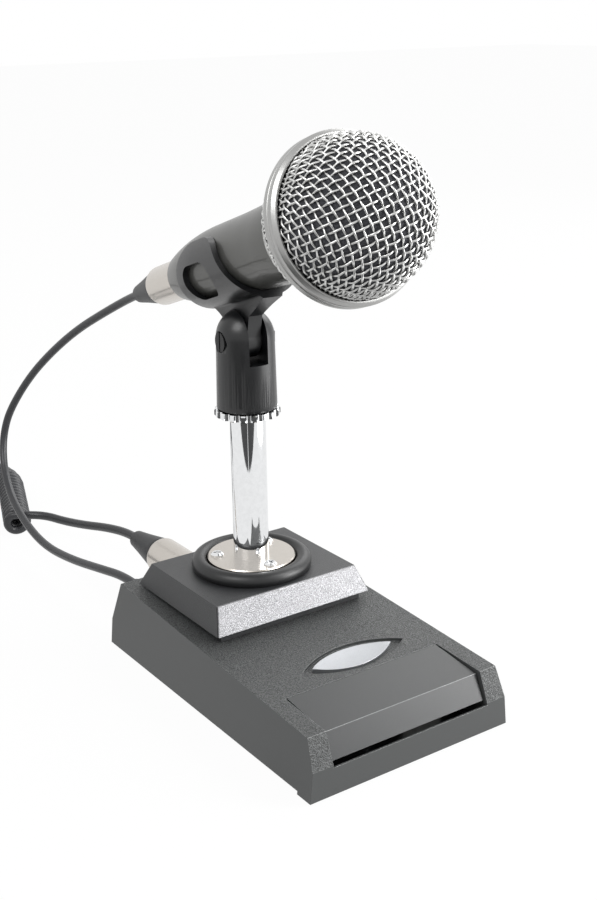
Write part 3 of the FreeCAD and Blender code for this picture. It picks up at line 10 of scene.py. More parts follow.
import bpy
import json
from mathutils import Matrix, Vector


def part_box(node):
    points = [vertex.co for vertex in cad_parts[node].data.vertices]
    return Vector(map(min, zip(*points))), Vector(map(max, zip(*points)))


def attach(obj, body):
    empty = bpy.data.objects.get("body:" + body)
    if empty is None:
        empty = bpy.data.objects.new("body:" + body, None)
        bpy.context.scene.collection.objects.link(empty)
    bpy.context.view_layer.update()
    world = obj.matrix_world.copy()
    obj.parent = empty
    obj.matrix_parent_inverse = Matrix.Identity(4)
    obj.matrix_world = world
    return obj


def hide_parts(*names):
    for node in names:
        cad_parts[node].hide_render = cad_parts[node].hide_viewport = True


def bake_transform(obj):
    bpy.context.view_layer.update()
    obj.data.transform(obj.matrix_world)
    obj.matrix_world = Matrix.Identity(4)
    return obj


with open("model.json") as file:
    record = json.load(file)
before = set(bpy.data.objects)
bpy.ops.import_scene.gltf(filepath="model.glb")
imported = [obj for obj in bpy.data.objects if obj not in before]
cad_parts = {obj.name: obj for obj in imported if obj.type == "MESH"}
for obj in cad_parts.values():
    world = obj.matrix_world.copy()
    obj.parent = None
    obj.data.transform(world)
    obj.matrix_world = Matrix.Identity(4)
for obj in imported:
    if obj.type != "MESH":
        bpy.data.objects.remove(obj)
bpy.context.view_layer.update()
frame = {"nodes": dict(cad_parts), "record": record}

import json
import bmesh
import bpy
import numpy as np
from mathutils import Matrix

MM = 0.001

# %% [markdown]
# ## Small tools
#
# Every new piece below is a surface worked out as a grid of points: rows run along it and columns run round
# it. Two of the helpers turn such a grid into a mesh. Points that fall together, as at a pole or an end
# that closes to a point, are merged, so that the surface is shut. The reach of such a merge is in metres,
# as in Blender's own tools, and every other length in this script is in millimetres until it is placed.

# %% Grid of points to mesh
TINY = 1e-12
MERGE_REACH = 1e-7
SPECK_REACH = 1e-8


def unit(vectors):
    """The same directions with a length of one. TINY keeps a vector of no length from failing."""
    return vectors / (np.linalg.norm(vectors, axis=-1, keepdims=True) + TINY)


def grid_faces(rows, columns, round_rows=False, round_columns=False):
    """Quads between neighbours of a grid; a side that goes round joins its last line to its first."""
    number = np.arange(rows * columns).reshape(rows, columns)
    if round_rows:
        number = np.vstack((number, number[:1]))
    if round_columns:
        number = np.hstack((number, number[:, :1]))
    corners = (number[:-1, :-1], number[:-1, 1:], number[1:, 1:], number[1:, :-1])
    return np.stack(corners, axis=-1).reshape(-1, 4)


def new_piece(name, points, faces, crease=35):
    """Mesh object from arrays of points in millimetres and of quads, sharp at edges over crease degrees."""
    mesh = bpy.data.meshes.new(name)
    mesh.vertices.add(len(points))
    mesh.vertices.foreach_set("co", (np.asarray(points) * MM).astype(np.float32).ravel())
    mesh.loops.add(faces.size)
    mesh.loops.foreach_set("vertex_index", faces.astype(np.int32).ravel())
    mesh.polygons.add(len(faces))
    mesh.polygons.foreach_set("loop_start", np.arange(0, faces.size, faces.shape[1], dtype=np.int32))
    mesh.update(calc_edges=True)
    shape = bmesh.new()
    shape.from_mesh(mesh)
    bmesh.ops.remove_doubles(shape, verts=shape.verts, dist=MERGE_REACH)
    bmesh.ops.dissolve_degenerate(shape, edges=shape.edges, dist=SPECK_REACH)
    bmesh.ops.recalc_face_normals(shape, faces=shape.faces)
    shape.to_mesh(mesh)
    shape.free()
    mesh.shade_smooth()
    mesh.set_sharp_from_angle(angle=np.radians(crease))
    piece = bpy.data.objects.new(name, mesh)
    bpy.context.scene.collection.objects.link(piece)
    print(f"{name}: {len(mesh.polygons)} faces")
    return piece


# %% [markdown]
# ### Places on the microphone and on the base
#
# The clip turns about the pivot bolt, 150 mm above the desk: 5 degrees to one side, and 17.7 degrees down
# at the back. The microphone's own axis lies 33.4 mm above the pivot, and its plug starts 145.4 mm behind
# the ball's band. A sub-part's frame is a turn and a place, and `placed` takes points from it to the desk's
# frame.

# %% Frames of the sub-parts
SWIVEL = np.radians(-5.0)
TILT = np.radians(-17.7)
POST_REACH = 34.2
PIVOT = np.array([0.0, POST_REACH, 150.0])
AXIS_HEIGHT = 33.4
BAND_REACH = 100.9
PLUG_REACH = 145.4
SOCKET_FACE = np.array([0.0, 86.5, 20.0])


def turn_z(angle):
    """Matrix of a turn about Z: X goes towards Y."""
    return np.array([[np.cos(angle), -np.sin(angle), 0], [np.sin(angle), np.cos(angle), 0], [0, 0, 1]])


def turn_x(angle):
    """Matrix of a turn about X: Y goes towards Z."""
    return np.array([[1, 0, 0], [0, np.cos(angle), -np.sin(angle)], [0, np.sin(angle), np.cos(angle)]])


def placed(points, place):
    """Points of a frame, given as its turn and its origin, in the desk's frame."""
    turn, origin = place
    return np.asarray(points) @ turn.T + origin


CLIP_TURN = turn_z(SWIVEL) @ turn_x(TILT)
MIC = (CLIP_TURN, PIVOT + CLIP_TURN @ np.array([0, -BAND_REACH, AXIS_HEIGHT]))
MIC_PLUG = (CLIP_TURN, placed([0, PLUG_REACH, 0], MIC))
OUTPUT_PLUG = (np.eye(3), SOCKET_FACE)
POST = (np.eye(3), np.array([0, POST_REACH, 0]))
print("middle of the ball's band:", MIC[1].round(2))

# %% [markdown]
# ## Camera
#
# The camera stands to the left of the base and a little above it, about 56 cm away. Its place was worked
# out from the straight edges of the base, so that the picture can be laid over a photograph taken from
# there.

# %% Camera
CAMERA_AZIMUTH = np.radians(-34.66)
CAMERA_ELEVATION = np.radians(18.92)
CAMERA_ROLL = np.radians(-0.90)
CAMERA_DISTANCE = 561.5
CAMERA_TARGET = np.array([10.6, 10.9, 103.8])
LENS = 52.39
SENSOR_WIDTH = 36
CLIP_START = 10.0

back = np.array([
    np.sin(CAMERA_AZIMUTH) * np.cos(CAMERA_ELEVATION),
    -np.cos(CAMERA_AZIMUTH) * np.cos(CAMERA_ELEVATION),
    np.sin(CAMERA_ELEVATION),
])
level_right = unit(np.cross(-back, [0, 0, 1]))
level_up = np.cross(level_right, -back)
right = np.cos(CAMERA_ROLL) * level_right + np.sin(CAMERA_ROLL) * level_up
up = -np.sin(CAMERA_ROLL) * level_right + np.cos(CAMERA_ROLL) * level_up
camera = bpy.data.objects.new("camera", bpy.data.cameras.new("camera"))
camera.data.lens = LENS
camera.data.sensor_width = SENSOR_WIDTH
camera.data.clip_start = CLIP_START * MM
camera.matrix_world = Matrix.Translation((CAMERA_TARGET + back * CAMERA_DISTANCE) * MM) @ Matrix(
    np.stack((right, up, back), axis=1)).to_4x4()
bpy.context.scene.collection.objects.link(camera)
bpy.context.scene.camera = camera
print("camera at", [round(value, 3) for value in camera.location])

# %% [markdown]
# ## Materials
#
# Each finish is a Principled shader with the numbers of the real material. Colours are written as sRGB hex
# values and turned to linear ones by one function. Patterns read Object coordinates, which are metres here,
# so a texture's scale is one over the real size of its grain.

# %% Colour, nodes and finishes
def linear(colour):
    """Linear RGBA of an sRGB hex colour."""
    value = np.array([int(colour[i:i + 2], 16) for i in (1, 3, 5)]) / 255
    value = np.where(value <= 0.04045, value / 12.92, ((value + 0.055) / 1.055) ** 2.4)
    return (*value, 1.0)


def add_node(tree, kind, inputs=(), **settings):
    """Adds a node: settings are its own, and inputs give each socket a constant or another node's output."""
    node = tree.nodes.new(kind)
    for setting, value in settings.items():
        setattr(node, setting, value)
    for socket, value in dict(inputs).items():
        if isinstance(value, bpy.types.NodeSocket):
            tree.links.new(value, node.inputs[socket])
        else:
            node.inputs[socket].default_value = value
    return node


def new_finish(name, colour, roughness, metallic=0.0, **sockets):
    """Material with a Principled shader; further sockets are named with _ for a space."""
    finish = bpy.data.materials.new(name)
    finish.use_nodes = True
    shader = finish.node_tree.nodes["Principled BSDF"]
    shader.inputs["Base Color"].default_value = linear(colour)
    shader.inputs["Roughness"].default_value = roughness
    shader.inputs["Metallic"].default_value = metallic
    for socket, value in sockets.items():
        shader.inputs[socket.replace("_", " ")].default_value = value
    return finish


# A Mix node's colour sockets share their names with others, so they are called by number
MIX_A = 6
MIX_B = 7
MIX_COLOUR = 2

GRAIN_DETAIL = 3.0
GRAIN_ROUGHNESS = 0.6
GRAIN_LOW = 0.35
GRAIN_HIGH = 0.65
UPWARD_FROM = 0.2
UPWARD_FULL = 0.35


def grained(finish, grain, depth=0.0, colours=None, roughness=None, upward=False):
    """Gives a finish a grain of so many millimetres: a bump, and colours and roughness that follow it.

    The grain is noise, with its middle range stretched over all of 0 to 1, and depth is the bump's height in
    millimetres. With upward the grain fades to its middle value on faces that don't look up.
    """
    tree = finish.node_tree
    shader = tree.nodes["Principled BSDF"]
    place = add_node(tree, "ShaderNodeTexCoord")
    noise = add_node(tree, "ShaderNodeTexNoise", {
        "Vector": place.outputs["Object"], "Scale": 1 / (grain * MM), "Detail": GRAIN_DETAIL,
        "Roughness": GRAIN_ROUGHNESS})
    height = add_node(tree, "ShaderNodeMapRange", {
        "Value": noise.outputs["Fac"], "From Min": GRAIN_LOW, "From Max": GRAIN_HIGH})
    # Only the housing uses this: its grain colours are painted glints, kept to faces that look up.
    if upward:
        facing = add_node(tree, "ShaderNodeSeparateXYZ", {"Vector": place.outputs["Normal"]})
        upper = add_node(tree, "ShaderNodeMapRange", {
            "Value": facing.outputs["Z"], "From Min": UPWARD_FROM, "From Max": UPWARD_FULL})
        height = add_node(tree, "ShaderNodeMapRange", {
            "Value": upper.outputs["Result"], "To Min": 0.5, "To Max": height.outputs["Result"]})
    if depth:
        bump = add_node(tree, "ShaderNodeBump", {
            "Height": height.outputs["Result"], "Distance": depth * MM})
        tree.links.new(bump.outputs["Normal"], shader.inputs["Normal"])
    if colours:
        mix = add_node(tree, "ShaderNodeMix", {
            "Factor": height.outputs["Result"], MIX_A: linear(colours[0]), MIX_B: linear(colours[1])},
            data_type="RGBA")
        tree.links.new(mix.outputs[MIX_COLOUR], shader.inputs["Base Color"])
    if roughness:
        rough = add_node(tree, "ShaderNodeMapRange", {
            "Value": height.outputs["Result"], "To Min": roughness[0], "To Max": roughness[1]})
        tree.links.new(rough.outputs["Result"], shader.inputs["Roughness"])
    return finish


# %% [markdown]
# ### Plastics, rubbers and lacquer
#
# The housing is ABS from a spark-eroded mould, so its skin is a fine even grain that catches the light in
# specks. The grain shows only on faces that look up: there its bump and its colours, from near black to mid
# grey, make the specks, and these colours are painted glints. On the other faces it fades to one even grey.
# The talk bar comes from a smoother mould. The plinth is satin ABS, the clip and the fork are glossy
# glass-filled nylon, and the leads have a satin PVC sheath. The handle's lacquer has fine metal flakes in
# it, which give it a soft sheen. The foam in the ball is open and has no shine. The board is coloured near
# black as painted shade, so that it doesn't show through the gap under the bar. The grain of a real mould is
# about
# 0.2 mm. It is drawn at up to three times that where it has to show from half a metre away.

# %% Plastics, rubbers and lacquer
# Painted glints: the housing's grain colours, near black to mid grey, show only on faces that look up.
housing_abs = grained(new_finish("spark_eroded_abs", "#373939", 0.45, IOR=1.54), 0.55, 0.14,
                      ("#0f1111", "#535555"), (0.6, 0.32), upward=True)
bar_abs = grained(new_finish("satin_abs", "#1e2021", 0.38, IOR=1.54), 0.25, 0.01, ("#1b1d1e", "#222425"))
plinth_abs = grained(new_finish("moulded_black_abs", "#262728", 0.4, IOR=1.54), 0.35, 0.03,
                     ("#222324", "#2d2e30"))
soft_rubber = grained(new_finish("soft_black_rubber", "#0f1011", 0.4), 0.5, 0.01, ("#0d0e0f", "#141516"))
gloss_nylon = grained(new_finish("moulded_nylon", "#0d0e10", 0.32, IOR=1.53), 0.6, 0.006,
                      ("#0b0c0e", "#111214"), (0.36, 0.28))
cord_pvc = grained(new_finish("pvc_sheath", "#232427", 0.34), 0.5, 0.01, ("#202124", "#28292c"))
boot_rubber = grained(new_finish("moulded_boot_rubber", "#202123", 0.5), 0.5, 0.015, ("#1c1d1f", "#262729"))
insert_plastic = grained(new_finish("moulded_black_insert", "#1c1c1c", 0.4), 0.5, 0.01,
                         ("#181818", "#222222"))
switch_plastic = grained(new_finish("moulded_white_pbt", "#dcdcd8", 0.4), 0.5, 0.01,
                         ("#d6d6d2", "#e2e2de"))
black_foam = grained(new_finish("open_cell_foam", "#3c3d41", 0.95), 0.7, 0.4, ("#2e2f33", "#4c4d52"))
handle_lacquer = grained(new_finish("metallic_lacquer", "#4a4a47", 0.4, 0.6, Coat_Weight=0.3), 0.12, 0.003,
                         ("#444441", "#50504d"))
# Painted shade: the board is coloured near black so that the gap under the bar stays dark.
board_laminate = grained(new_finish("laminate_painted_shade", "#121314", 0.35), 0.8, 0.01,
                         ("#101112", "#151617"))

# %% [markdown]
# ### Painted highlight on the edges
#
# The housing's and the talk bar's rounded edges have a painted highlight, strongest on those that look up
# and to the front. The finish for these rounded edges reads the way that the surface looks, which is the
# Normal of
# Texture Coordinate, and turns from dark to light as it comes closer to the way of the painted highlight.

# %% Painted highlight on the edges
# Painted highlight: rounded edges are coloured light where they face up and to the front.
HIGHLIGHT_WAY = (0.35, -0.45, 0.82)
HIGHLIGHT_FROM = 0.5
HIGHLIGHT_FULL = 0.75
EDGE_DARK = "#1c1e1e"
PAINTED_HIGHLIGHT_COLOUR = "#a4a6a6"
painted_highlight_edge = new_finish("abs_edge_painted_highlight", PAINTED_HIGHLIGHT_COLOUR, 0.2, IOR=1.54)
tree = painted_highlight_edge.node_tree
place = add_node(tree, "ShaderNodeTexCoord")
facing = add_node(tree, "ShaderNodeVectorMath", {0: place.outputs["Normal"], 1: HIGHLIGHT_WAY},
                  operation="DOT_PRODUCT")
highlight_share = add_node(tree, "ShaderNodeMapRange", {
    "Value": facing.outputs["Value"], "From Min": HIGHLIGHT_FROM, "From Max": HIGHLIGHT_FULL})
highlight_mix = add_node(tree, "ShaderNodeMix", {
    "Factor": highlight_share.outputs["Result"], MIX_A: linear(EDGE_DARK), MIX_B: linear(PAINTED_HIGHLIGHT_COLOUR)}, data_type="RGBA")
tree.links.new(highlight_mix.outputs[MIX_COLOUR], tree.nodes["Principled BSDF"].inputs["Base Color"])

# %% [markdown]
# ### Metals
#
# Chrome on the post is a clean mirror. The disc under it and the plugs are satin nickel, a little warm, and
# the ball's band is satin chrome. The wire of the ball is drawn and plated, so it shines in thin lines. The
# slider has silver paint, which is softer than plating. The plate on the plinth is covered with silver
# flakes under a clear film: each flake is a different grey. The turned brass is warm, the zinc on the
# base's plate and screws a cool grey, and the oxide on black steel and the skin of cast iron are dull.

# %% Metals
chrome_plate = grained(new_finish("chrome_plate", "#e6e7e8", 0.04, 1.0), 2.0, 0.0, ("#e3e4e5", "#e9eaeb"))
satin_nickel = grained(new_finish("satin_nickel", "#c6c0b9", 0.26, 1.0), 0.3, 0.002, ("#c0bab2", "#ccc7c1"))
silver_satin = grained(new_finish("satin_chrome", "#a6a6a4", 0.32, 1.0), 0.25, 0.002,
                       ("#a0a09e", "#acacab"))
grille_wire = grained(new_finish("plated_steel_wire", "#cfcfcd", 0.28, 1.0), 0.4, 0.002,
                      ("#c8c8c6", "#d6d6d5"))
slider_silver = grained(new_finish("silver_paint", "#a0a2a5", 0.3, 0.85), 0.3, 0.002,
                        ("#9a9c9f", "#a6a8ab"))
flake_film = grained(new_finish("silver_flake_film", "#79797b", 0.42, 0.5), 0.4, 0.04,
                     ("#5b5b5d", "#979799"), (0.5, 0.3))
brass = grained(new_finish("turned_brass", "#c8a050", 0.3, 1.0), 0.3, 0.002, ("#c29a4a", "#cea858"))
zinc_steel = grained(new_finish("zinc_plated_steel", "#b4b6b8", 0.35, 1.0), 0.8, 0.002,
                     ("#a9abad", "#bfc1c3"))
black_steel = grained(new_finish("black_oxide_steel", "#121214", 0.45, 0.6), 0.4, 0.01,
                      ("#0f0f11", "#161618"))
cast_iron = grained(new_finish("cast_iron", "#4a4a4a", 0.7, 0.6), 0.8, 0.08, ("#3c3c3c", "#585858"))

# %% [markdown]
# ### Dressing the nodes
#
# The record names a material slot for each node of the CAD. Each slot has one of the finishes above.

# %% Dressing the nodes
FINISHES = {
    "housing_abs": housing_abs,
    "bar_abs": bar_abs,
    "plinth_abs": plinth_abs,
    "speckled_plate": flake_film,
    "soft_rubber": soft_rubber,
    "satin_nickel": satin_nickel,
    "chrome_plate": chrome_plate,
    "gloss_nylon": gloss_nylon,
    "handle_lacquer": handle_lacquer,
    "silver_satin": silver_satin,
    "grille_wire": grille_wire,
    "slider_silver": slider_silver,
    "cord_pvc": cord_pvc,
    "boot_rubber": boot_rubber,
    "brass_part": brass,
    "zinc_steel": zinc_steel,
    "black_steel": black_steel,
    "cast_ballast": cast_iron,
    "black_foam": black_foam,
    "board_laminate": board_laminate,
    "switch_plastic": switch_plastic,
    "insert_plastic": insert_plastic,
}
slot_of = {part["node"]: part["material_slot"] for part in frame["record"]["subparts"]}
body_of = {node: body for body, nodes in frame["record"]["behaviour"]["bodies"].items() for node in nodes}
for node, slot in slot_of.items():
    frame["nodes"][node].data.materials.clear()
    frame["nodes"][node].data.materials.append(FINISHES[slot])
print("finishes:", len(FINISHES), "nodes dressed:", len(slot_of))


def stands_for(piece, *nodes):
    """Gives a new piece the finish of the CAD nodes that it stands for, and shows it in their place."""
    slot = slot_of[nodes[0]]
    if not piece.data.materials:
        piece.data.materials.append(FINISHES[slot])
    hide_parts(*nodes)
    return piece

# %% [markdown]
# ## Pieces with flat faces
#
# The housing, the talk bar, the plinth and its plate come from CAD with sharp edges, while a moulded part
# has edges rounded by a few tenths of a millimetre, and it is these that draw thin light lines along it. So
# a copy of each CAD mesh has its triangles joined to whole faces, and a Bevel modifier rounds its edges.
# The clip and the fork are curved themselves, so their copies are only joined and shaded smooth, with a
# width of 0.

# %% Rounded copies of the CAD's pieces
JOIN_REACH = 1e-6
FLAT_ANGLE = 0.3
EDGE_SEGMENTS = 3
EDGE_WIDTH = 0.5
OTHER_EDGE_WIDTHS = {"plinth": 0.4, "plinth_front_plate": 0.2, "clip": 0.0, "fork": 0.0, "lock_slider": 0.5}


def rounded(node, width, edge_finish=None, crease=30):
    """Copy of a CAD node with its flat faces joined and its edges rounded to so many millimetres.

    The rounded edges may have a finish of their own.
    """
    shape = bmesh.new()
    shape.from_mesh(frame["nodes"][node].data)
    bmesh.ops.remove_doubles(shape, verts=shape.verts, dist=JOIN_REACH)
    bmesh.ops.dissolve_limit(shape, angle_limit=np.radians(FLAT_ANGLE), verts=shape.verts, edges=shape.edges)
    mesh = bpy.data.meshes.new(node + "_rounded")
    shape.to_mesh(mesh)
    shape.free()
    mesh.shade_smooth()
    mesh.set_sharp_from_angle(angle=np.radians(crease))
    piece = bpy.data.objects.new(node + "_rounded", mesh)
    bpy.context.scene.collection.objects.link(piece)
    if width:
        bevel = piece.modifiers.new("edges", "BEVEL")
        bevel.width = width * MM
        bevel.segments = EDGE_SEGMENTS
        bevel.limit_method = "ANGLE"
        bevel.angle_limit = np.radians(crease)
        bevel.harden_normals = True
    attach(piece, body_of[node])
    print(f"{piece.name}: {len(mesh.polygons)} faces")
    stands_for(piece, node)
    if edge_finish:
        mesh.materials.append(edge_finish)
        bevel.material = len(mesh.materials) - 1
    return piece


# The housing's and the bar's rounded edges take the finish with the painted highlight.
rounded("housing", EDGE_WIDTH, painted_highlight_edge, crease=20)
rounded("talk_bar", EDGE_WIDTH, painted_highlight_edge)
for node, width in OTHER_EDGE_WIDTHS.items():
    rounded(node, width)

# %% [markdown]
# ## Turned pieces
#
# The handle, the band, the plugs and the post are turned on a lathe or drawn as tubes. Each is a profile of
# corners, a radius and a place along the axis; the corners of the band, the collar, the handle's grip and
# the boots are eased by a small curve. The profile goes round the axis in 128 steps or more, so that no
# flats show on its outline.

# %% Profiles and turning
LONGEST_EASE = 0.45
TURNING_STEPS = 128


def eased(corners, size, steps=5):
    """Profile with each inner corner C eased by a curve from A to B, which lie near C on its two runs.

    The curve is (1-t)^2 A + 2t(1-t) C + t^2 B for t from 0 to 1. A and B are the size away from C, or less
    where a run is short, so that the curves of its two corners don't meet.
    """
    corners = np.array(corners, float)
    run = np.diff(corners, axis=0)
    length = np.linalg.norm(run, axis=1)
    reach = np.minimum(size, LONGEST_EASE * np.minimum(length[:-1], length[1:]))[:, None]
    middle = corners[1:-1]
    start = middle - run[:-1] / length[:-1, None] * reach
    end = middle + run[1:] / length[1:, None] * reach
    t = np.linspace(0, 1, steps)[None, :, None]
    curve = (1 - t) ** 2 * start[:, None] + 2 * t * (1 - t) * middle[:, None] + t ** 2 * end[:, None]
    return np.vstack((corners[:1], curve.reshape(-1, 2), corners[-1:]))


def turned(name, profile, place, axis="Y", steps=TURNING_STEPS, crease=35):
    """Surface round an axis: r cos(turn) and r sin(turn) across it and a along it, for each point (r, a)."""
    radius, along = np.array(profile, float).T[:, :, None]
    turn = np.linspace(0, 2 * np.pi, steps, endpoint=False)[None, :]
    one, other, straight = radius * np.cos(turn), radius * np.sin(turn), along + 0 * turn
    grid = (one, straight, other) if axis == "Y" else (one, other, straight)
    points = placed(np.stack(grid, axis=-1).reshape(-1, 3), place)
    return new_piece(name, points, grid_faces(len(profile), steps, round_columns=True), crease)


def arc(centre, radius, start, end, steps):
    """Points of a profile's arc about a centre (r, a), between two angles in degrees from the r axis."""
    angle = np.radians(np.linspace(start, end, steps))
    return np.stack((centre[0] + radius * np.cos(angle), centre[1] + radius * np.sin(angle)), axis=-1)


def turned_for(node, profile, place, axis="Y", **shape):
    """Turned surface that stands for a CAD node."""
    piece = turned(node + "_turned", profile, place, axis, **shape)
    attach(piece, body_of[node])
    return stands_for(piece, node)

# %% [markdown]
# ### The post and the cushion ring
#
# The post is a chromed tube 15.9 mm across, which is the 5/8 inch of stand threads. It stands in a satin
# disc, and a soft ring of rubber lies round the disc. The disc and the scalloped lock ring keep their CAD
# shape.

# %% Post and cushion ring
post_low, post_high = [corner[2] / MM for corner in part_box("post")]
flange_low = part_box("post_flange")[0][2] / MM
POST_RADIUS = 7.95
POST_WALL = 1.6
POST_EDGE = 0.5
FLANGE_RADIUS = 19.8
FIT = 0.05
CUSHION_TUBE = 3.6
CUSHION_LIFT = 2.0
turned_for("post", [
    (POST_RADIUS - POST_WALL, post_low),
    (POST_RADIUS, post_low),
    (POST_RADIUS, post_high - POST_EDGE),
    (POST_RADIUS - POST_EDGE, post_high),
    (POST_RADIUS - POST_WALL, post_high),
    (POST_RADIUS - POST_WALL, post_low),
], POST, "Z")
lowest = -np.degrees(np.arcsin(CUSHION_LIFT / CUSHION_TUBE))
cushion_middle = (FLANGE_RADIUS + FIT + CUSHION_TUBE, flange_low + CUSHION_LIFT)
cushion = arc(cushion_middle, CUSHION_TUBE, lowest, 180 - lowest, steps=40)
turned_for("cushion_ring", np.vstack((cushion, cushion[:1])), POST, "Z")

# %% [markdown]
# ### The band, the collar and the handle
#
# These are turned parts on the microphone's own axis, measured backwards from the band. The band has a flat
# front face, a bevel and a groove. The handle narrows to a grip, and its tail is one long soft curve.

# %% Band, collar and handle
DOME_RADIUS = 29.9
BASKET_RADIUS = 30.2
BASKET_CENTRE = 5.5
BAND_RADIUS = 32.2
BAND_GROOVE = 3.9
BAND_WIDTH = 7.6
BAND_BEVEL = 1.4
BAND_EDGE = 0.6
GROOVE_DEPTH = 1.2
GROOVE_HALF = 0.6
COLLAR_RADIUS = 18.8
COLLAR_LENGTH = 6.4
COLLAR_BEVEL = 1.0
COLLAR_STEP = 0.3
COLLAR_WALL = 2.0
HANDLE_WALL = 2.2
NECK_RADIUS = 17.6
NECK_LENGTH = 20.5
GRIP_RADIUS = 16.5
GRIP_LENGTH = 15.0
BODY_RADIUS = 16.15
BODY_LENGTH = 29.0
TAIL_RADIUS = 11.3
TAIL_LENGTH = 45.4
TAIL_EDGE = 0.4
SOCKET_RADIUS = 8.0
SOCKET_DEPTH = 24.0
TURNED_EDGE = 0.3
GRIP_EASE = 4.0
AXIS_GAP = 0.01
basket_end = BASKET_CENTRE + np.sqrt(BASKET_RADIUS ** 2 - COLLAR_RADIUS ** 2)
collar_end = basket_end + COLLAR_LENGTH
grip_start = collar_end + NECK_LENGTH
body_start = grip_start + GRIP_LENGTH
body_end = body_start + BODY_LENGTH
handle_end = body_end + TAIL_LENGTH
turned_for("grille_band", eased([
    (DOME_RADIUS + FIT, BAND_GROOVE),
    (DOME_RADIUS + FIT, 0),
    (BAND_RADIUS - BAND_BEVEL, 0),
    (BAND_RADIUS, BAND_BEVEL),
    (BAND_RADIUS, BAND_GROOVE - GROOVE_HALF),
    (BAND_RADIUS - GROOVE_DEPTH, BAND_GROOVE),
    (BAND_RADIUS, BAND_GROOVE + GROOVE_HALF),
    (BAND_RADIUS, BAND_WIDTH - BAND_EDGE),
    (BAND_RADIUS - BAND_EDGE, BAND_WIDTH),
    (BASKET_RADIUS + FIT, BAND_WIDTH),
    (BASKET_RADIUS + FIT, BAND_GROOVE),
    (DOME_RADIUS + FIT, BAND_GROOVE),
], TURNED_EDGE), MIC, steps=192)
turned_for("grille_collar", eased([
    (NECK_RADIUS - COLLAR_WALL, basket_end),
    (COLLAR_RADIUS, basket_end),
    (COLLAR_RADIUS, collar_end - COLLAR_BEVEL),
    (NECK_RADIUS + COLLAR_STEP, collar_end),
    (NECK_RADIUS - COLLAR_WALL, collar_end),
    (NECK_RADIUS - COLLAR_WALL, basket_end),
], TURNED_EDGE), MIC)
tail_drop = BODY_RADIUS - TAIL_RADIUS
tail_arc_radius = ((handle_end - body_end) ** 2 + tail_drop ** 2) / (2 * tail_drop)
tail_angle = np.degrees(np.arcsin((handle_end - body_end) / tail_arc_radius))
tail = arc((BODY_RADIUS - tail_arc_radius, body_end), tail_arc_radius, 0, tail_angle, steps=24)
grip = eased([
    (NECK_RADIUS - HANDLE_WALL, collar_end),
    (NECK_RADIUS, collar_end),
    (GRIP_RADIUS, grip_start),
    (BODY_RADIUS, body_start),
    (BODY_RADIUS, body_end),
], GRIP_EASE, steps=8)
socket = [
    (TAIL_RADIUS - TAIL_EDGE, handle_end),
    (SOCKET_RADIUS, handle_end),
    (SOCKET_RADIUS, handle_end - SOCKET_DEPTH),
    (AXIS_GAP, handle_end - SOCKET_DEPTH),
]
turned_for("mic_handle", np.vstack((grip, tail, socket)), MIC)

# %% [markdown]
# ### Plugs and boots
#
# A three-pin plug has a turned shell that rounds off towards its boot, and a smooth rubber boot that
# narrows to the lead and ends in a soft edge. Both plugs come from one function.

# %% Plug shells and boots
PLUG_RADIUS = 9.4
PLUG_LENGTH = 34.0
SHOULDER_EDGE = 0.5
REAR_ROUNDING = 3.0
REAR_ROUNDING_END = 62
NOSE_RADIUS = 7.95
NOSE_LENGTH = 16.0
NOSE_BORE = 6.5
BOOT_RADIUS = 8.8
BOOT_WAIST_RADIUS = 5.9
BOOT_WAIST_PLACE = 0.6
BOOT_END_RADIUS = 4.4
BOOT_MOUTH_RADIUS = 2.4
BOOT_TUCK = 1.0
BOOT_TUCK_STEP = 1.4
BOOT_SEAM_STEP = 0.4
BOOT_LIP = 2.0
BOOT_LIP_STEP = 0.6
BOOT_EASE = 1.0
MIC_BOOT_LENGTH = 28.0
OUTPUT_BOOT_LENGTH = 25.5


def dress_plug(plug, boot_length, place):
    """Shell and boot of a plug, from its shoulder at 0 backwards."""
    rounding_middle = (PLUG_RADIUS - REAR_ROUNDING, PLUG_LENGTH - REAR_ROUNDING)
    rounding = arc(rounding_middle, REAR_ROUNDING, 0, REAR_ROUNDING_END, steps=12)
    nose = [
        (NOSE_BORE, -NOSE_LENGTH),
        (NOSE_RADIUS, -NOSE_LENGTH),
        (NOSE_RADIUS, 0),
        (PLUG_RADIUS - SHOULDER_EDGE, 0),
        (PLUG_RADIUS, SHOULDER_EDGE),
    ]
    bore = [(NOSE_BORE, rounding[-1, 1]), (NOSE_BORE, -NOSE_LENGTH)]
    turned_for(plug + "_shell", np.vstack((nose, rounding, bore)), place)
    boot_end = PLUG_LENGTH + boot_length
    turned_for(plug + "_boot", eased([
        (AXIS_GAP, PLUG_LENGTH - BOOT_TUCK),
        (BOOT_RADIUS - BOOT_TUCK_STEP, PLUG_LENGTH - BOOT_TUCK),
        (BOOT_RADIUS - BOOT_SEAM_STEP, PLUG_LENGTH),
        (BOOT_RADIUS - BOOT_LIP_STEP, PLUG_LENGTH + BOOT_LIP),
        (BOOT_WAIST_RADIUS, PLUG_LENGTH + BOOT_WAIST_PLACE * boot_length),
        (BOOT_END_RADIUS, boot_end),
        (BOOT_MOUTH_RADIUS, boot_end),
        (AXIS_GAP, boot_end),
    ], BOOT_EASE, steps=8), place)


dress_plug("mic_plug", MIC_BOOT_LENGTH, MIC_PLUG)
dress_plug("output_plug", OUTPUT_BOOT_LENGTH, OUTPUT_PLUG)

# %% [markdown]
# ## The ball's wire mesh
#
# The ball's front is a plain weave of steel wire, pressed from a flat sheet into a dome. A pressed weave
# keeps the length of its wires between crossings, while its square cells lean over into diamonds. That is a
# Chebyshev net: two wires cross at right angles at the tip, and every further crossing is found as the
# corner of a cell with four equal sides. On a ball the fourth corner is the first one mirrored in the plane
# through the two beside it and the ball's middle. The wires then rise and dip in turn from crossing to
# crossing.

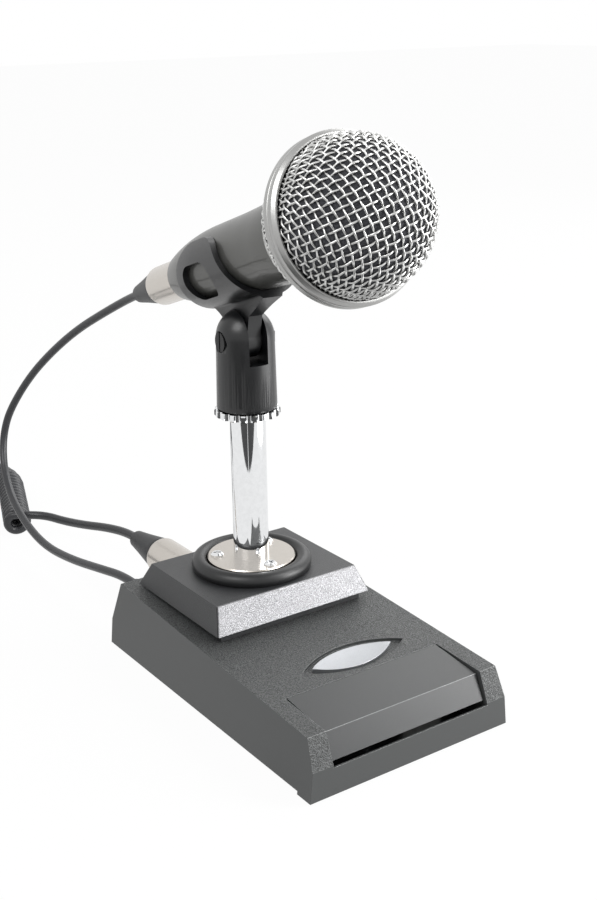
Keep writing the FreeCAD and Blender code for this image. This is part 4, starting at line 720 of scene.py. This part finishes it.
# %% Net on a ball
def net_quarter(step, count):
    """Unit directions of a quarter of an evenly sided net, its two straight wires on great circles."""
    net = np.zeros((count + 1, count + 1, 3))
    angle = step * np.arange(count + 1)
    net[:, 0] = np.stack((np.sin(angle), 0 * angle, np.cos(angle)), axis=-1)
    net[0, :] = np.stack((0 * angle, np.sin(angle), np.cos(angle)), axis=-1)
    for diagonal in range(2, 2 * count + 1):
        i = np.arange(max(1, diagonal - count), min(count, diagonal - 1) + 1)
        j = diagonal - i
        mirror = unit(np.cross(net[i, j - 1], net[i - 1, j]))
        first = net[i - 1, j - 1]
        net[i, j] = first - 2 * np.sum(first * mirror, axis=-1, keepdims=True) * mirror
    return net


def net_whole(step, count):
    """The quarter mirrored to all four: crossings from -count to count each way."""
    quarter = net_quarter(step, count)
    half = np.concatenate((quarter[:0:-1] * [-1, 1, 1], quarter))
    return np.concatenate((half[:, :0:-1] * [1, -1, 1], half), axis=1)


# %% Wires of a weave
WIRE_RADIUS = 0.45
CRIMP = 0.47
WIRE_BEND = 0.25
WIRE_SIDES = 8


def wires_along(net, radius, samples, sign):
    """Centre lines of the wires that run along the net's first side, and their outward directions.

    Between two crossings a wire follows the straight way, bent a little after its neighbours and brought
    back to the ball. Its distance from the middle is the radius plus the crimp times cos(pi (i + j)), so
    that it passes over and under in turn.
    """
    count = len(net)
    place = np.linspace(0, count - 1, (count - 1) * samples + 1)
    low = np.minimum(place.astype(int), count - 2)
    share = (place - low)[:, None, None]
    before, after = np.maximum(low - 1, 0), np.minimum(low + 2, count - 1)
    bend = (net[low] - net[before], net[after] - net[low + 1])
    middle = net[low] * (1 - share) + net[low + 1] * share
    middle = middle + share * (1 - share) * WIRE_BEND * (bend[0] - bend[1])
    outward = unit(middle)
    other = np.arange(net.shape[1])[None, :]
    height = radius + sign * CRIMP * np.cos(np.pi * (place[:, None] + other))
    return outward * height[..., None], outward


def wire_tubes(paths, outward, keep):
    """Grids of thin tubes along paths, which are an array of samples by wires by 3.

    A wire ends where its samples leave keep: the ones outside fall on the nearest one inside. The tube's two
    end rings are drawn to a point.
    """
    samples, wires = keep.shape
    along = unit(np.gradient(paths, axis=0))
    side = unit(np.cross(along, outward))
    top = np.cross(side, along)
    first = np.argmax(keep, axis=0)
    last = samples - 1 - np.argmax(keep[::-1], axis=0)
    spot = np.clip(np.arange(samples)[:, None], first, last)
    column = np.arange(wires)[None, :]
    around = 2 * np.pi * np.arange(WIRE_SIDES) / WIRE_SIDES
    ring = (np.cos(around)[:, None] * side[spot, column][:, :, None, :]
            + np.sin(around)[:, None] * top[spot, column][:, :, None, :])
    tube = paths[spot, column][:, :, None, :] + WIRE_RADIUS * ring
    tube[0] = tube[0].mean(axis=1, keepdims=True)
    tube[-1] = tube[-1].mean(axis=1, keepdims=True)
    return tube[:, keep.any(axis=0)].transpose(1, 0, 2, 3)


# %% [markdown]
# The front is woven from its tip to inside the band. The rear is woven round its own pole, where the real
# one has the hole for the collar, so its wires come in two halves. Dark foam lines the inside of both, as
# in a real ball, where it keeps breath off the capsule. The front's lining is the CAD's own.

# %% Front and rear of the ball
MESH_PITCH = 3.22
WEAVE_TURN = np.radians(18.0)
DOME_LENGTH = 31.8
WIRE_SAMPLES = 4
WIRE_CREASE = 80
WIRE_TUCK = 1.0
COLLAR_TUCK = 0.6
dome_ball = (DOME_RADIUS ** 2 + DOME_LENGTH ** 2) / (2 * DOME_LENGTH)
dome_centre = dome_ball - DOME_LENGTH


def weave(nets, radius, centre, pole, low, high):
    """Point grids of a weave's wires, for both ways of each net, between two places along the axis."""
    cosine, sine = np.cos(WEAVE_TURN), np.sin(WEAVE_TURN)
    axes = np.array([[cosine, 0, sine], [-sine, 0, cosine], [0, pole, 0]])
    grids = []
    for net, sign in nets:
        middle, outward = wires_along(net @ axes, radius - WIRE_RADIUS - CRIMP, WIRE_SAMPLES, sign)
        middle = middle + [0, centre, 0]
        inside = (middle[..., 1] >= low) & (middle[..., 1] <= high)
        grids.append(wire_tubes(middle, outward, inside))
    return np.concatenate(grids)


def woven_piece(node, tubes):
    """Mesh of all the tubes of a weave, standing for a CAD node."""
    wires, samples, sides = tubes.shape[:3]
    one = grid_faces(samples, sides, round_columns=True)
    faces = (np.arange(wires)[:, None, None] * samples * sides + one).reshape(-1, 4)
    piece = new_piece(node + "_weave", placed(tubes.reshape(-1, 3), MIC), faces, WIRE_CREASE)
    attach(piece, body_of[node])
    return stands_for(piece, node)


def both_ways(net):
    """The net's wires of one way and of the other, which dip where the first rise."""
    return [(net, 1), (net.transpose(1, 0, 2), -1)]


def in_halves(net):
    """The wires of both ways, each in two halves that start at the middle line."""
    middle = len(net) // 2
    halves = []
    for way, sign in both_ways(net):
        halves += [(way[middle:], sign), (way[middle::-1], sign)]
    return halves


mesh_step = 2 * np.arcsin(MESH_PITCH / 2 / dome_ball)
net = net_whole(mesh_step, int(np.ceil(np.pi / 2 / mesh_step)) + 1)
woven_piece("grille_front", weave(both_ways(net), dome_ball, dome_centre, pole=-1,
                                  low=-np.inf, high=WIRE_TUCK))
woven_piece("grille_rear", weave(in_halves(net), BASKET_RADIUS, BASKET_CENTRE, pole=1,
                                 low=BAND_GROOVE + WIRE_TUCK, high=basket_end + COLLAR_TUCK))

# %% Lining of the rear
LINING_RADIUS = 28.2
LINING_THICKNESS = 0.6
lining_start = np.degrees(np.arcsin((BAND_GROOVE + WIRE_TUCK - BASKET_CENTRE) / LINING_RADIUS))
lining_stop = np.degrees(np.arcsin((basket_end - BASKET_CENTRE) / LINING_RADIUS))
outer_skin = arc((0, BASKET_CENTRE), LINING_RADIUS, lining_start, lining_stop, steps=24)
inner_skin = arc((0, BASKET_CENTRE), LINING_RADIUS - LINING_THICKNESS, lining_stop, lining_start, steps=24)
lining = turned("grille_rear_lining", np.vstack((outer_skin, inner_skin, outer_skin[:1])), MIC)
lining.data.materials.append(black_foam)
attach(lining, "microphone")

# %% [markdown]
# ## Leads
#
# The microphone's lead leaves its boot, hangs in one wide loop behind the base and comes back along the
# desk to the strain relief. The output lead runs back over the desk and turns curly; its curls carry on out
# of the picture, turn back and end in a jack plug. Each lead's line is a quadratic spline drawn by a few
# control points, in the same places as in the CAD. The curly part's helix is more points of the output
# lead's spline.

# %% Splines
QUADRATIC = 3
SPLINE_STEPS = 8
TUBE_STEPS = 4


def spline_object(name, points, radius=0.0):
    """Curve object of one open quadratic spline with these control points, in millimetres.

    The points carry the tube's radius, with a bevel depth of 1, so that the curve's box is as wide as the
    tube.
    """
    curve = bpy.data.curves.new(name, "CURVE")
    curve.dimensions = "3D"
    spline = curve.splines.new("NURBS")
    spline.points.add(len(points) - 1)
    weighted = np.hstack((np.array(points) * MM, np.ones((len(points), 1))))
    spline.points.foreach_set("co", weighted.ravel())
    spline.points.foreach_set("radius", np.full(len(points), radius * MM))
    spline.order_u = QUADRATIC
    spline.use_endpoint_u = True
    spline.resolution_u = SPLINE_STEPS
    curve.bevel_depth = 1.0 if radius else 0.0
    curve.bevel_resolution = TUBE_STEPS
    curve.use_fill_caps = radius > 0
    piece = bpy.data.objects.new(name, curve)
    bpy.context.scene.collection.objects.link(piece)
    return piece


def line_of(points):
    """Points along the spline of these control points, as Blender works them out, in millimetres."""
    guide = spline_object("guide", points)
    mesh = bpy.data.meshes.new_from_object(guide)
    line = np.zeros(len(mesh.vertices) * 3)
    mesh.vertices.foreach_get("co", line)
    curve = guide.data
    bpy.data.objects.remove(guide)
    bpy.data.curves.remove(curve)
    bpy.data.meshes.remove(mesh)
    return line.reshape(-1, 3) / MM


def tube(name, line, radius, sides=20):
    """Round tube along a line: rings across it, each of which starts at a right angle to the X axis."""
    along = unit(np.gradient(line, axis=0))
    side = unit(np.cross(along, [1, 0, 0]))
    top = np.cross(side, along)
    around = 2 * np.pi * np.arange(sides) / sides
    ring = np.cos(around)[:, None] * side[:, None] + np.sin(around)[:, None] * top[:, None]
    points = line[:, None] + radius * ring
    points = np.concatenate((0 * points[:1] + line[0], points, 0 * points[:1] + line[-1]))
    return new_piece(name, points.reshape(-1, 3), grid_faces(len(points), sides, round_columns=True))


# %% The microphone's lead
MIC_LEAD_RADIUS = 2.1
MIC_BOOT_END = PLUG_LENGTH + MIC_BOOT_LENGTH
RELIEF_END = np.array([-32.0, 88.0, 24.0])
STRAIGHT_END = 12.0
LOOP_MIDDLE = np.array([-14.85, 251.55, 77.5])
LOOP_REACH = 13.5
loop_way = unit(np.array([-0.26, 0.555, -0.79]))
upper_route = [
    placed([0, MIC_BOOT_END, 0], MIC_PLUG),
    placed([0, MIC_BOOT_END + STRAIGHT_END, 0], MIC_PLUG),
    (6.2, 180.5, 134.0),
    (1.2, 204.0, 121.2),
    (-4.9, 225.5, 105.5),
    LOOP_MIDDLE - loop_way * LOOP_REACH,
    LOOP_MIDDLE,
]
lower_route = [
    LOOP_MIDDLE,
    LOOP_MIDDLE + loop_way * LOOP_REACH,
    (-22.0, 262.4, 53.2),
    (-25.3, 258.8, 40.8),
    (-28.5, 249.4, 30.7),
    (-32.3, 232.4, 22.6),
    (-35.5, 208.0, 16.6),
    (-36.9, 180.0, 13.4),
    (-35.9, 150.0, 16.0),
    (-34.0, 120.0, 21.0),
    RELIEF_END + [0, STRAIGHT_END, 0],
    RELIEF_END,
]


def length_of(line):
    """Sum of the steps along a line."""
    return float(np.linalg.norm(np.diff(line, axis=0), axis=1).sum())


upper_line = line_of(upper_route)
lower_line = line_of(lower_route)
upper_lead = tube("mic_lead_upper_sheath", upper_line, MIC_LEAD_RADIUS)
lower_lead = tube("mic_lead_lower_sheath", lower_line, MIC_LEAD_RADIUS)
for lead, node in ((upper_lead, "mic_lead_upper"), (lower_lead, "mic_lead_lower")):
    stands_for(lead, node)
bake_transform(upper_lead)
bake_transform(lower_lead)
print("microphone's lead:", round(length_of(upper_line) + length_of(lower_line)), "mm")

# %% The output lead
OUTPUT_LEAD_RADIUS = 2.3
CURL_RADIUS = 5.6
CURL_COUNT = 45
CURL_PITCH = 5.1
CURL_BEND_PITCH = 5.85
CURL_ENTRY_PITCH = 14.0
CURL_ENTRY_FADE = 0.3
CURL_STRAIGHT = 62.0
CURL_BEND_RADIUS = 45.0
CURL_HEADING = np.radians(70.4)
CURL_START = np.array([-30.7, 232.0, CURL_RADIUS + OUTPUT_LEAD_RADIUS])
POINTS_PER_CURL = 14
SMALL_TURN = 1e-4
PLUG_RUN = 9.5
NEAR_RUN = 12.0
FAR_RUN = 16.0
JACK_RUN = 10.0
curl_entry = (CURL_ENTRY_PITCH - CURL_PITCH) * CURL_ENTRY_FADE
tight_turns = (CURL_STRAIGHT - curl_entry) / CURL_PITCH


def level(heading):
    """Level directions at headings in radians from +X."""
    return np.stack((np.cos(heading), np.sin(heading), 0 * heading), axis=-1)


def curls(turn, radius):
    """Points of the helix after so many turns.

    The axis runs straight, bends half round to the left and runs straight again. A point stands off it by
    the radius times (up cos 2 pi turn + left sin 2 pi turn), and the turns open out towards both ends.
    """
    run = CURL_PITCH * np.minimum(turn, tight_turns) + CURL_BEND_PITCH * np.maximum(turn - tight_turns, 0)
    run = run + curl_entry * (1 - np.exp(-turn / CURL_ENTRY_FADE))
    run = run + curl_entry * np.exp((turn - CURL_COUNT) / CURL_ENTRY_FADE)
    heading = CURL_HEADING + np.clip((run - CURL_STRAIGHT) / CURL_BEND_RADIUS, 0, np.pi)
    before = np.minimum(run, CURL_STRAIGHT)[:, None]
    after = np.maximum(run - CURL_STRAIGHT - np.pi * CURL_BEND_RADIUS, 0)[:, None]
    quarter = np.pi / 2
    hub = CURL_START + level(CURL_HEADING) * before + level(CURL_HEADING + quarter) * CURL_BEND_RADIUS
    left = level(heading + quarter)
    centre = hub - left * CURL_BEND_RADIUS + level(heading) * after
    angle = 2 * np.pi * turn[:, None]
    return centre + radius * (np.array([0, 0, 1]) * np.cos(angle) + left * np.sin(angle))


# At its widest the spline runs at 3/4 + 1/4 cos(step) of its control points' ring, so that ring is wider
turns = np.arange(CURL_COUNT * POINTS_PER_CURL + 1) / POINTS_PER_CURL
helix = curls(turns, CURL_RADIUS / (0.75 + 0.25 * np.cos(2 * np.pi / POINTS_PER_CURL)))
end_turns = np.array([0, SMALL_TURN, CURL_COUNT - SMALL_TURN, CURL_COUNT])
near_end, near_next, far_before, far_end = curls(end_turns, CURL_RADIUS)
near_way = unit(near_next - near_end)
far_way = unit(far_end - far_before)
near_joint = near_end - near_way * 2 * OUTPUT_LEAD_RADIUS
far_joint = far_end + far_way * 2 * OUTPUT_LEAD_RADIUS
output_start = placed([0, PLUG_LENGTH + OUTPUT_BOOT_LENGTH, 0], OUTPUT_PLUG)
jack_entry = np.array([-101.5, 200.4, 8.0])
output_route = np.vstack((
    [output_start, output_start + [0, PLUG_RUN, 0]],
    [(-3.4, 173.0, 18.2), (-8.2, 191.0, 15.0), (-12.9, 208.0, 13.0)],
    [near_joint - near_way * NEAR_RUN, near_joint],
    helix[1:-1],
    [far_joint, far_joint + far_way * FAR_RUN],
    [(-93.5, 239.0, 11.5), (-97.5, 223.0, 9.0)],
    [jack_entry + [0, JACK_RUN, 0], jack_entry],
))
output_lead = spline_object("output_lead_sheath", output_route, OUTPUT_LEAD_RADIUS)
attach(output_lead, "base")
stands_for(output_lead, "output_lead", "curly_lead", "lead_tail")
output_length = length_of(line_of(output_route))
print("output lead:", round(output_length), "mm,", len(output_route), "points")

# %% [markdown]
# ## Studio
#
# The picture has a white ground and soft light from all round, as in a light tent. The floor is a pale
# sheet that shows the camera, and every mirror, mostly its own white, and keeps a faint shadow. So a share
# of its light paths sees an emission of strength 1, which is white, and the rest sees paper.

# %% Floor
WHITE_SHARE = 0.96
FLOOR_HALF = 6000.0


def shows_white(tree):
    """Socket that is 1 for what the camera, a mirror or clear glass sees, and 0 for light on its way."""
    ray = add_node(tree, "ShaderNodeLightPath")
    seen = add_node(tree, "ShaderNodeMath", {
        0: ray.outputs["Is Camera Ray"], 1: ray.outputs["Is Glossy Ray"]}, operation="MAXIMUM")
    shown = add_node(tree, "ShaderNodeMath", {
        0: seen.outputs[0], 1: ray.outputs["Is Transmission Ray"]}, operation="MAXIMUM")
    return shown.outputs[0]


floor_finish = bpy.data.materials.new("white_paper")
floor_finish.use_nodes = True
tree = floor_finish.node_tree
tree.nodes.clear()
share = add_node(tree, "ShaderNodeMath", {0: shows_white(tree), 1: WHITE_SHARE}, operation="MULTIPLY")
paper = add_node(tree, "ShaderNodeBsdfDiffuse", {"Color": linear("#e6e6e6")})
glow = add_node(tree, "ShaderNodeEmission", {"Color": linear("#ffffff"), "Strength": 1.0})
mixed = add_node(tree, "ShaderNodeMixShader", {0: share.outputs[0], 1: paper.outputs[0], 2: glow.outputs[0]})
add_node(tree, "ShaderNodeOutputMaterial", {"Surface": mixed.outputs[0]})
corners = np.array([[-1, -1, 0], [-1, 1, 0], [1, -1, 0], [1, 1, 0]]) * FLOOR_HALF
floor = new_piece("floor", corners, grid_faces(2, 2))
floor.data.materials.append(floor_finish)

# %% [markdown]
# ### Dark cards
#
# Two dark cards lie just over the floor on the way from the post to the camera, side by side with a narrow
# gap between them. Only reflections show them: they draw the dark wedge and the light line on the post.

# %% Dark cards
CARD_NEAR = 263.0
CARD_FAR = 800.0
CARD_WAY = np.radians(-124.66)
CARD_GAP = 7.0
CARD_WIDTHS = {"left_card": -640.0, "right_card": 420.0}
CARD_LIFT = 0.5
card_finish = new_finish("black_card", "#101112", 0.8)
for name, width in CARD_WIDTHS.items():
    reach = np.array([CARD_NEAR, CARD_FAR, CARD_NEAR, CARD_FAR])
    across = np.array([1, 1, 0, 0]) * width + np.sign(width) * CARD_GAP
    points = POST[1] + reach[:, None] * level(CARD_WAY) + across[:, None] * level(CARD_WAY + np.pi / 2)
    points += [0, 0, CARD_LIFT]
    card = new_piece(name, points, grid_faces(2, 2))
    card.data.materials.append(card_finish)
    card.visible_camera = False
    card.visible_diffuse = False
    card.visible_shadow = False

# %% [markdown]
# ### Light
#
# The world is the tent itself: plain white where it is seen, and dimmer where it lights the object. Five
# square lamps add the shape. Two large ones hang to the left and to the right, one stands low at the right,
# one is behind and to the right, and a small one stands close to the base's right front corner, as low as
# its deck. Each points near the middle of the object.

# %% World
TENT_STRENGTH = 0.55
world = bpy.data.worlds.new("light_tent")
bpy.context.scene.world = world
world.use_nodes = True
tree = world.node_tree
tree.nodes.clear()
soft = add_node(tree, "ShaderNodeBackground", {"Color": linear("#ffffff"), "Strength": TENT_STRENGTH})
white = add_node(tree, "ShaderNodeBackground", {"Color": linear("#ffffff"), "Strength": 1.0})
mixed = add_node(tree, "ShaderNodeMixShader", {
    0: shows_white(tree), 1: soft.outputs[0], 2: white.outputs[0]})
add_node(tree, "ShaderNodeOutputWorld", {"Surface": mixed.outputs[0]})
print("strength of the tent:", TENT_STRENGTH)

# %% Lamps
LAMP_AIM = np.array([0, 20, 100])
LAMP_DISTANCE = 1400.0


def hang_lamp(name, azimuth, elevation, size, power, distance=LAMP_DISTANCE):
    """Square lamp of so many millimetres and watts that points at LAMP_AIM, from angles in degrees.

    Its own axes are one that is level, one at right angles to that, and the way back from what it lights.
    """
    lamp = bpy.data.lights.new(name, "AREA")
    lamp.size = size * MM
    lamp.energy = power
    turn, lift = np.radians(azimuth), np.radians(elevation)
    way = np.array([np.sin(turn) * np.cos(lift), -np.cos(turn) * np.cos(lift), np.sin(lift)])
    side = unit(np.cross([0, 0, 1], way))
    hung = bpy.data.objects.new(name, lamp)
    hung.location = (LAMP_AIM + way * distance) * MM
    hung.rotation_euler = Matrix(np.stack((side, np.cross(way, side), way), axis=1)).to_euler()
    bpy.context.scene.collection.objects.link(hung)
    print(name, "at", [round(value, 2) for value in hung.location])


hang_lamp("left_lamp", azimuth=-75.0, elevation=48.0, size=700.0, power=7.5)
hang_lamp("right_lamp", azimuth=50.0, elevation=42.0, size=600.0, power=9.0)
hang_lamp("low_lamp", azimuth=46.0, elevation=15.0, size=500.0, power=12.0)
hang_lamp("rear_lamp", azimuth=118.0, elevation=34.0, size=900.0, power=5.5)
hang_lamp("near_lamp", azimuth=54.0, elevation=-14.5, size=260.0, power=0.64, distance=320.0)

# %% The picture's look
bpy.context.scene.view_settings.view_transform = "Standard"
